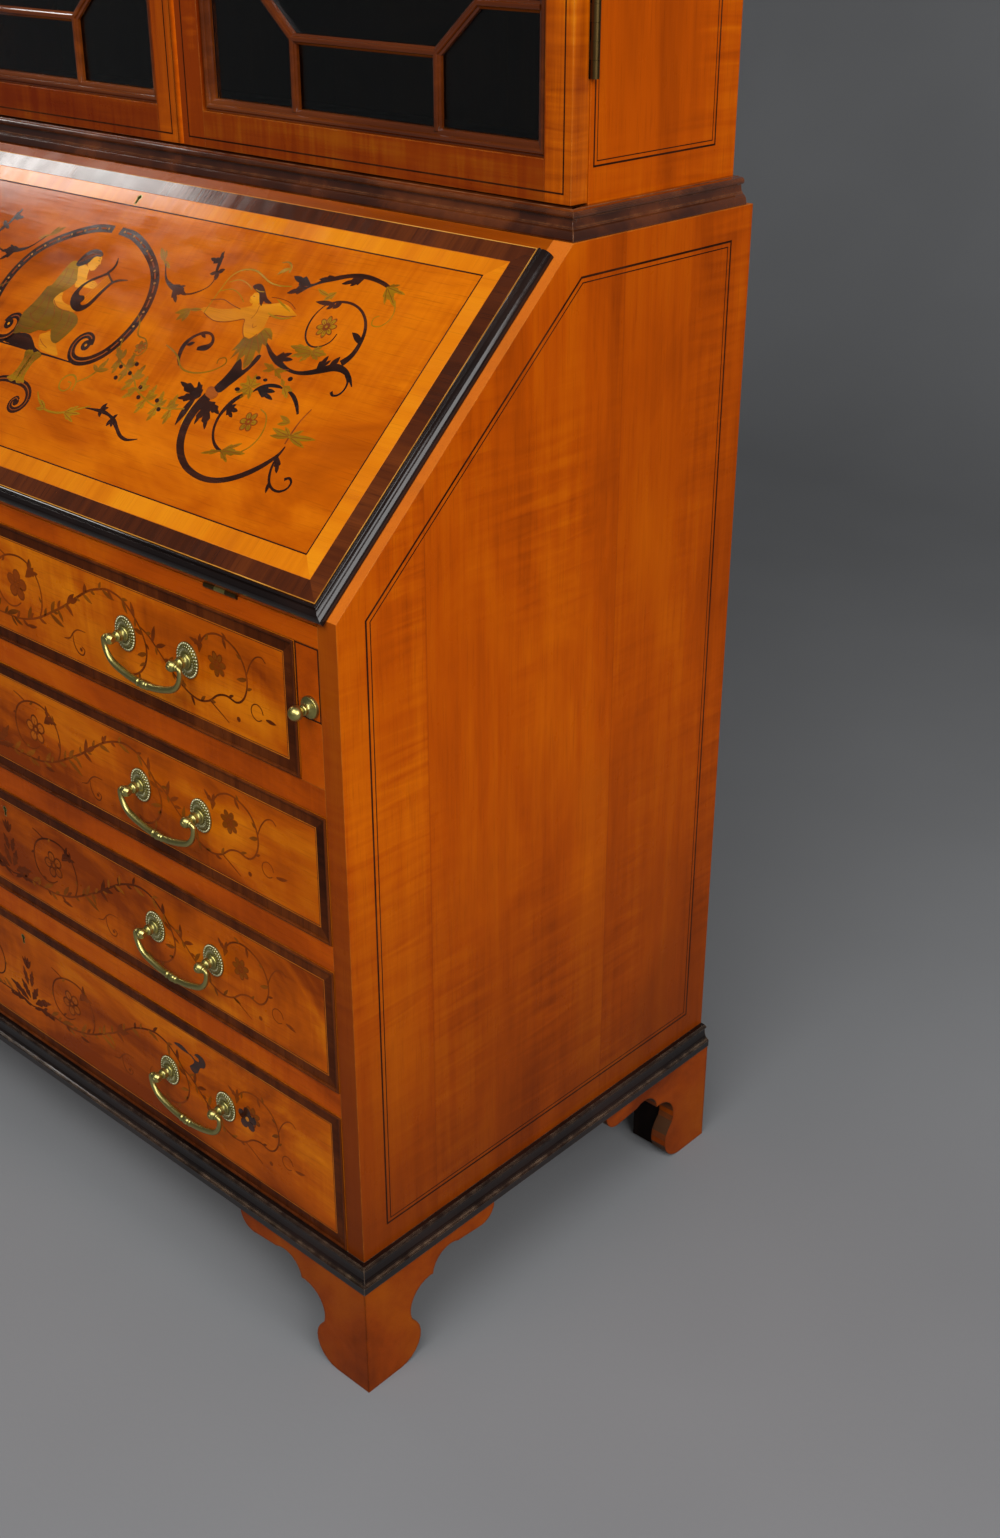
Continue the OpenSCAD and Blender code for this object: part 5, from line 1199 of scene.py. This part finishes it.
draw.spray(305, 168, inlay_green, (-40, 14, 6), (-10, 12, 5), (140, 9, 4), layer=1, lobes=2)
# Lower scroll with its flower
draw.line([(277.4, 156.6, 1.2), (282, 161.4, 3.4), (290, 165.4, 3.6), (299, 166.6, 3.0),
    (305, 166, 1.2)], inlay_dark)
draw.spray(280, 160, inlay_dark, (4, 20, 7), (-14, 23, 6.5), lobes=2)
draw.line([(313.6, 165, 2.2), (321, 162, 3.4), (329, 156.4, 3.4), (336.6, 148.6, 2.0)], inlay_dark)
draw.line([(269.4, 151.6, 3.6), (264.4, 145.6, 4.6), (261, 138, 4.6), (259.4, 129, 3.2),
    (261, 120, 2.6), (265.4, 112, 2.4), (272, 105.6, 2.6), (279.6, 102, 2.8), (288, 100.2, 1.2)],
    inlay_dark)
draw.spray(262, 137, inlay_dark, (0, 13, 7), (-30, 13, 6), (34, 9, 5), lobes=2)
draw.spray(272, 160, inlay_green, (100, 12, 6), (140, 14, 6), (180, 13, 6), (215, 14, 6),
    (255, 13, 6), (300, 12, 6), (30, 10, 5), lobes=2)
draw.spray(284, 101, inlay_green, (-30, 15, 5), (8, 26, 6), (34, 20, 5), (200, 20, 4.4), layer=1,
    lobes=2)
draw.line([(302, 103, 1.0), (310, 111, 1.2), (313.6, 121, 1.3), (312, 132, 1.2), (306, 140.6, 1.1),
    (297, 144, 1.0)], inlay_green)
draw.flower(293, 131, 9.5, 6, inlay_green, inlay_brown, 0, 0.1)
draw.line([(342.6, 122, 1.4), (342.4, 132, 1.6), (343.4, 144, 1.4), (347, 155.6, 0.9)], inlay_brown)
draw.spray(342.6, 128.6, inlay_green, (8, 27, 5), (-14, 21, 4.4), (172, 22, 5), (190, 20, 4.4),
    (145, 12, 4), (40, 13, 4), layer=1)
draw.spray(334, 140, inlay_green, (165, 14, 4), (200, 12, 4))
draw.line([(343.4, 112, 2.0), (343.8, 103, 2.2), (346.6, 95, 2.4), (351.6, 88, 2.4),
    (358.4, 84.2, 2.2), (366, 84, 2.2), (371.6, 88, 2.0), (372, 93.6, 2.0), (367.8, 96.6, 2.2),
    (363.6, 94.4, 2.8)], inlay_dark)
draw.spray(344.4, 110, inlay_dark, (-58, 15, 6), lobes=2)
draw.spray(351, 89, inlay_dark, (-72, 10, 3.4))
piece.make()

# The seated figure with a lyre in the oval is drawn once

piece = Piece("fall_figure", "fall")
draw = Inlay(piece, on_fall, FALL_TOP, False)
draw.curved([(-47, 138.2), (-46, 146), (-36, 150.4), (-22, 151.4), (-12, 147), (-3, 141), (5, 138)],
    inlay_dark, 0, 3)
ROBE = [(-31, 230), (-25, 232.6), (-17, 229), (-12, 222), (-7.5, 214), (-10, 206), (-15.4, 200),
    (-18, 194.6), (-12, 188), (-2, 184.2), (10, 183.4), (22, 181), (29, 174.6), (28, 166),
    (24, 157), (19.6, 150), (12, 151), (6, 156), (1.6, 162), (-4, 158.6), (-14, 157.6),
    (-22, 152.2), (-34, 151.4), (-43.4, 148), (-46.6, 160), (-48.6, 170), (-44.4, 181),
    (-41.6, 192), (-40.6, 201), (-36, 203.4), (-34.6, 212), (-33, 222)]
draw.curved(ROBE, inlay_green, 1, 2)
for fold in ([(-30, 224), (-27, 212), (-29, 202)], [(-21, 224), (-17, 212), (-20, 202)],
        [(-36, 198), (-33, 184), (-38, 168)], [(-28, 192), (-20, 176), (-24, 158)],
        [(-14, 184), (-6, 174), (-8, 161)], [(0, 182), (6, 172), (4, 162)],
        [(12, 181), (17, 170), (13, 156)], [(-40, 172), (-30, 166), (-18, 165)],
        [(-44, 158), (-32, 156), (-22, 158)], [(20, 178), (23, 168), (20, 158)]):
    draw.thin(fold, inlay_brown, 0.8, 2)
draw.curved([(1.6, 160), (7, 155), (12, 151), (19, 150), (24, 146), (30, 141.6), (31, 139.2),
    (20, 139), (10, 140), (2, 142), (-4, 148), (-8, 154), (-2, 157)], inlay_pale, 0, 2)
draw.thin([(-4, 150), (4, 146), (12, 143.6)], inlay_brown, 0.7, 1)
draw.curved([(-19, 196), (-20.6, 189.4), (-13, 184.6), (-2, 182.4), (10, 182.6), (17, 184.4),
    (14, 188.4), (2, 188.6), (-8, 191), (-13, 195.4), (-15, 199.6)], inlay_pale, 2, 2)
draw.thin([(-19.6, 189.6), (-12, 184.8), (-2, 182.6), (10, 182.8)], inlay_brown, 0.8, 3)
draw.curved([(-8, 213), (-4, 216.4), (2, 216), (10, 217.4), (18, 216.6), (22.4, 213.4), (20, 209.6),
    (12, 209.2), (4, 208.6), (-4, 207)], inlay_pale, 2, 2)
for k in range(3):
    draw.thin([(13, 215.6 - 2 * k), (18, 215.2 - 2 * k), (22, 213 - 1.6 * k)], inlay_brown, 0.4, 3)
LYRE = [(25.4, 229), (19, 224.6), (11.6, 220), (4.6, 213.4), (0.6, 206.6), (-0.8, 199),
    (2.6, 191.6), (9, 186.6), (18, 184.4), (25, 187), (30.4, 193.4), (33, 201), (35.4, 209),
    (38, 215.6), (40.6, 220.4), (38.4, 221.4), (34.6, 215.6), (31, 208), (28.6, 201), (25.6, 194.6),
    (20.6, 191.6), (16, 193.4), (18.2, 197.4), (14.6, 201), (9, 200.4), (5.4, 203), (5.6, 208.4),
    (9, 214), (15.4, 219), (22, 223.6), (27.4, 226.8)]
draw.curved(LYRE, inlay_dark, 3, 2)
draw.line([(24.6, 227.6, 3.0), (28, 232.6, 3.0), (28.4, 238.6, 2.4), (25.6, 244.6, 0.8)],
    inlay_dark, 3)
draw.line([(38.6, 219.6, 2.6), (43.6, 222.8, 2.4), (49.6, 224.4, 1.8), (56, 225.6, 0.7)],
    inlay_dark, 3)
draw.line([(25.6, 228, 2.0), (32, 224, 1.8), (39.4, 220, 2.0)], inlay_dark, 3)
for k in range(4):
    draw.thin([(28 + 2.4 * k, 226 - 1.5 * k), (15 + 3 * k, 197 - k)], inlay_pale, 0.35, 2, 1)
NECK = [(-11, 231), (-2, 227.6), (0.6, 222), (3.4, 216.6), (-4, 212), (-10, 217), (-14, 222.4),
    (-17, 227)]
draw.curved(NECK, inlay_pale, 1, 2)
FACE_L = [(2.6, 243.2), (5.6, 240.4), (6.2, 237.8), (8.4, 234.6), (6.4, 233.7), (6.9, 232.2),
    (6.1, 231.4), (6.5, 230.2), (5.4, 227.4), (1.6, 226.2), (-2.6, 227.8), (-7, 231), (-10.6, 236),
    (-8, 241.6), (-2, 243.8)]
draw.shape(FACE_L, inlay_pale, 2)
draw.thin([(2.6, 237.4), (3.9, 237.8), (5.0, 237.2)], inlay_dark, 0.5, 3)
draw.thin([(2.2, 239.4), (3.9, 240.0), (5.2, 239.4)], inlay_brown, 0.4, 3)
draw.thin([(4.6, 231.3), (6.0, 231.5)], inlay_brown, 0.4, 3)
draw.curved([(-23, 230), (-21.6, 238), (-18, 244), (-11, 248), (-2.6, 248), (3.8, 244.6),
    (2.4, 241.6), (-3, 241.2), (-6, 238.4), (-7.4, 234), (-11, 231), (-15, 228.6), (-19, 227.6)],
    inlay_dark, 3, 3)
for k in range(4):
    draw.thin([(-20 + 3 * k, 231 + 2 * k), (-16 + 3.4 * k, 238 + 1.6 * k), (-9 + 3 * k, 244)],
        inlay_brown, 0.5, 4)
piece.make()

# Fine scrolls on the long drawers: x from the middle, z from the middle of the front

STEM = [(-0.2, -33, 1.5), (20, -29.5, 1.62), (45, -29, 1.62), (70, -28, 1.75), (90, -23, 1.88),
    (105, -17, 2), (120, -9, 2.12), (140, 2, 2.12), (160, 15, 2.12), (180, 27, 2), (200, 34, 2),
    (213, 35, 2), (227, 31, 2), (240, 21, 2), (249, 9, 2), (253, -4, 2), (250, -17, 2),
    (242, -27, 1.88), (230, -33, 1.75), (215, -34.5, 1.62), (203, -31, 1.5), (196, -24, 1.38),
    (194, -15, 1.25), (198, -8, 1)]
RING = [(103, -18, 1.75), (108, -7, 1.75), (109, 5, 1.75), (106, 16, 1.75), (99, 25, 1.75),
    (88, 30.5, 1.75), (75, 31.5, 1.75), (60, 28, 1.75), (48, 20, 1.75), (42, 8, 1.75),
    (42.6, -5, 1.75), (48, -14, 1.62), (58, -18.5, 1.5), (68, -17, 1.38), (76, -12, 1)]
BRANCH = [(246, 14, 1.62), (256, 10, 1.75), (265, 3, 1.75), (274, -5, 1.62), (284, -13, 1.62),
    (295, -21, 1.62), (306, -26.5, 1.62), (318, -28.5, 1.75), (330, -25, 1.75), (341, -17, 1.75),
    (352, -14, 1.75), (364, -16, 1.75), (373, -10, 1.75), (378, 2, 1.75), (377, 15, 1.75),
    (370, 27, 1.75), (358, 34, 1.75), (345, 36, 1.75), (333, 32, 1.62), (325, 24, 1.62),
    (321.6, 15, 1.38)]
for n, (z0, z1, _) in FRONTS.items():
    piece = Piece(f"drawer_{n}_penwork", f"drawer_{n}")
    middle = (z0 + z1) / 2
    pen = Inlay(piece, lambda x, z, h, middle=middle: on_front(x, middle + z, h), 0.0)
    random.seed(40 + n)

    def about(x, z, angle, length, width, look=pen_line, lobes=0):
        pen.leaf(x, z, angle + random.uniform(-8, 8), length * random.uniform(0.9, 1.1), width,
            look, 0, random.uniform(-25, 25), lobes)

    for line in (STEM, RING, BRANCH):
        pen.line(line, pen_line, 0, 5)
    pen.line([(61, 28, 1.3), (52, 31.5, 1.1), (44, 33.5, 0.7)], pen_line)
    looks = [pen_line, pen_green, pen_green]
    for sprout in ((STEM, 20, 225, 12.5, 9.0, 3.2), (STEM, 240, 345, 19, 7.8, 2.8),
            (RING, 14, 150, 33, 6.0, 2.4), (BRANCH, 8, 100, 12.5, 8.4, 3.0),
            (BRANCH, 125, 230, 26, 6.8, 2.5)):
        pen.sprouts(*sprout, looks)
    pen.flower(73, 4, 14.5, 5, pen_brown, pen_line, 0, 0.2 * n)
    for leaf in ((88, 15, 42, 17, 7.5, pen_line, 2), (93, 20, 5, 15, 6, pen_line, 2),
            (94, 21, 80, 13, 5.5, pen_line, 2), (147, 6, 62, 17, 5), (150, 9, 18, 15, 4.6),
            (145, 6, -35, 14, 4.4), (122, -8, 66, 14, 4.4, pen_green),
            (120, -10, -22, 20, 4.6, pen_green), (131, -3, -50, 13, 4, pen_green),
            (171, 22, -20, 13, 4, pen_green), (176, 25, 80, 8, 3.4),
            (200, 33, -28, 15, 4.2, pen_green), (226, 31, -70, 12, 4, pen_green),
            (240, 20, 95, 13, 4.4), (249, 8, 160, 12, 4.2), (252, -8, 200, 14, 4, pen_green),
            (262, 5, 85, 15, 4.4), (266, 2, 30, 13, 4), (280, -10, 60, 14, 4, pen_green),
            (300, -24, 110, 11, 3.6, pen_green), (322, 14, 82, 16, 6.4, pen_line, 2),
            (324, 20, 150, 14, 5, pen_line, 2), (352, 35, -70, 9, 3.4),
            (378, 8, -150, 12, 3.8, pen_green), (398, -20, -4, 13, 3.4),
            (2, -24, 64, 24, 8.5, pen_line, 3), (6, -28, 30, 30, 9, pen_line, 3),
            (10, -30, 4, 26, 6.5, pen_line, 2), (3, -8, 76, 19, 7.5, pen_line, 3),
            (16, -30, 196, 14, 4), (82, -31, -4, 14, 3.6), (34, -28, 38, 17, 4.4, pen_green),
            (52, -28, 26, 19, 4.6, pen_green), (84, -24, 48, 16, 4.4, pen_green),
            (62, -29, -30, 12, 3.6, pen_green)):
        about(*leaf)
    pen.line([(137, -27, 0.8), (145, -25, 1.3), (151, -18.5, 1.4), (158, -14, 1.2),
        (169, -13.5, 0.6)], pen_line)
    pen.line([(150, -20, 1.0), (150.6, -29, 1.3), (155.6, -35.6, 1.3), (162, -36, 1.3),
        (165, -31, 1.2), (161, -28.6, 1.1)], pen_line)
    pen.dot(160, -31.5, 1.8, pen_line)
    pen.flower(343, 10, 11, 7, pen_green, pen_line, 0, 0.1 * n)
    pen.line([(378, 11, 1.1), (383, 21.5, 1.2), (390, 29.5, 1.2), (397, 31.5, 1.1),
        (401.6, 28, 0.9)], pen_line)
    pen.line([(331, -24.6, 1.2), (342, -30.6, 1.1), (353, -37, 0.6)], pen_line)
    pen.dot(365, -30, 2.2, pen_line)
    pen.line([(388 + u, v - 17, 0.9) for u, v in circle(8, 7, 7)], pen_line)
    # Bud under the keyhole
    pen.curved([(0, 12), (5, 16), (7.4, 24), (4, 21.4), (2.4, 26), (0, 22)], pen_line, 0, 2)
    if n == 4:
        single = Inlay(piece, pen.place, 0.0, False)
        single.curved([(236, 38), (244, 41), (252, 39.4), (258.6, 35.6), (264.6, 31.6), (262, 26.6),
            (257, 22), (262, 17.4), (268.6, 20), (272.6, 27.6), (278.6, 30), (281.4, 36),
            (277.6, 41.2), (270, 42), (265.6, 38.6), (271, 37.4), (271.6, 33.6), (266, 33.4),
            (260, 36.6), (252, 35.2), (244, 36.2)], inlay_dark, 2, 2)
        single.flower(336, 4, 12.5, 5, inlay_dark, inlay_dark, 3, 0.3)
        single.dot(336, 4, 2.4, inlay_pale, 7)
    piece.make()

# Stringing on the bureau's and the bookcase's sides

piece = Piece("side_stringing", "carcase")
side_line = [(28.0, 162.5), (453.0, 162.5), (453.0, 932.5), (262.0, 932.5), (28.0, 724.6)]
book_line = rectangle(292.0, 445.0, 1006.0, 2064.0)
for s, _ in SIDES:
    for outline, half, bands in ((side_line, HALF_W, ((0.0, 1.7), (4.6, 5.5))),
            (book_line, BOOK_HALF, ((0.0, 1.5), (4.0, 4.8)))):
        for d0, d1 in bands:
            frame_band(piece, outline, d0, d1, on_side(s, half), -SUNK, 0.1, [string_dark])
piece.make()

# Doors: stringing round the frames, and the bead on the meeting edge

for s, side, x0 in ((-1, "left", 0.7), (1, "right", 8.2)):
    piece = Piece(f"door_{side}_stringing", f"door_{side}")
    outline = rectangle(*sorted((s * x0, s * DOOR_HALF)), *DOOR_Z)
    frame_band(piece, outline, 7.0, 8.3, on_door, -SUNK, 0.1, [string_dark])
    if side == "right":
        bulge = [(0.8 + 6.8 * k / 10, 0.2 + 1.9 * math.sin(math.pi * k / 10)) for k in range(11)]
        section = [(0.8, -0.6)] + bulge + [(7.6, -0.6)]
        points = [on_door(x, z, h) for z in (DOOR_Z[0] + 0.5, DOOR_Z[1] - 0.5) for x, h in section]
        piece.add(points, tube(len(section), 2), satin_z)
    piece.make()

# The floor and its backdrop

stage = Graph("studio_paper")
soft = stage.noise(stage.place, (1.2, 1.2, 1.2), 3.0)
fine = stage.noise(stage.place, (180.0, 180.0, 180.0), 4.0)
stage.set(Base_Color=stage.ramp(soft, (0.3, srgb(119, 120, 122)), (0.7, srgb(127, 128, 130))),
    Roughness=0.75)
stage.bump(fine, 0.0004, 0.3)
# Seen from behind, the backdrop is clear
clear = stage.node("ShaderNodeBsdfTransparent")
sides = stage.node("ShaderNodeMixShader")
stage.put(sides.inputs[0], stage.node("ShaderNodeNewGeometry").outputs["Backfacing"])
stage.put(sides.inputs[1], stage.shader.outputs[0])
stage.put(sides.inputs[2], clear.outputs[0])
stage.put(stage.out.inputs["Surface"], sides.outputs[0])
# Its section, as [depth, height] in metres: floor, a curve up to the wall, and the wall
profile = [(-4.0, 0.0), (2.2, 0.0)]
for k in range(1, 13):
    a = math.pi / 2 * k / 12
    profile.append((2.2 + 0.9 * math.sin(a), 0.9 * (1 - math.cos(a))))
profile.append((3.1, 4.6))
points = [Vector((x, y, z)) for y, z in profile for x in (-6.0, 6.0)]
faces = [(2 * i, 2 * i + 1, 2 * i + 3, 2 * i + 2) for i in range(len(profile) - 1)]
mesh = bpy.data.meshes.new("backdrop")
mesh.from_pydata(points, [], faces)
mesh.materials.append(stage.material)
mesh.shade_smooth()
backdrop = bpy.data.objects.new("backdrop", mesh)
bpy.context.scene.collection.objects.link(backdrop)


# Light and camera


def lamp(name, place, target, size, power, colour=(1.0, 1.0, 1.0)):
    data = bpy.data.lights.new(name, "AREA")
    data.shape = "RECTANGLE"
    data.size, data.size_y = size
    data.energy = power
    data.color = colour
    made = bpy.data.objects.new(name, data)
    made.location = place
    made.rotation_euler = (Vector(target) - Vector(place)).to_track_quat("-Z", "Y").to_euler()
    bpy.context.scene.collection.objects.link(made)


lamp("window", (-3.0, -0.1, 3.0), (0.0, 0.0, 0.95), (0.6, 0.6), 10.0, (1.0, 0.98, 0.95))
lamp("overhead", (1.1, -2.4, 3.3), (0.1, 0.0, 0.7), (2.6, 2.2), 106.0)
lamp("fill", (3.2, -0.9, 2.2), (0.2, 0.0, 0.7), (2.2, 2.2), 92.0)
world = bpy.data.worlds.new("studio")
world.use_nodes = True
sky = world.node_tree.nodes["Background"].inputs
sky[0].default_value = (0.9, 0.95, 1.0, 1.0)
sky[1].default_value = 0.1
scene = bpy.context.scene
scene.world = world
scene.view_settings.view_transform = "Standard"

camera = bpy.data.cameras.new("camera")
camera.lens = 41.95
camera.sensor_width = 36.0
camera.clip_start, camera.clip_end = 0.05, 50.0
eye = bpy.data.objects.new("camera", camera)
# Fitted to the photograph: the camera's right, up and back as columns, and its place in metres
AXES = Matrix(((0.7367, -0.3107, 0.6007), (0.6763, 0.3373, -0.6549), (0.0008, 0.8886, 0.4586)))
PLACE = (1.3608, -1.0155, 1.2212)
eye.matrix_world = Matrix.Translation(PLACE) @ AXES.to_4x4()
scene.collection.objects.link(eye)
scene.camera = eye
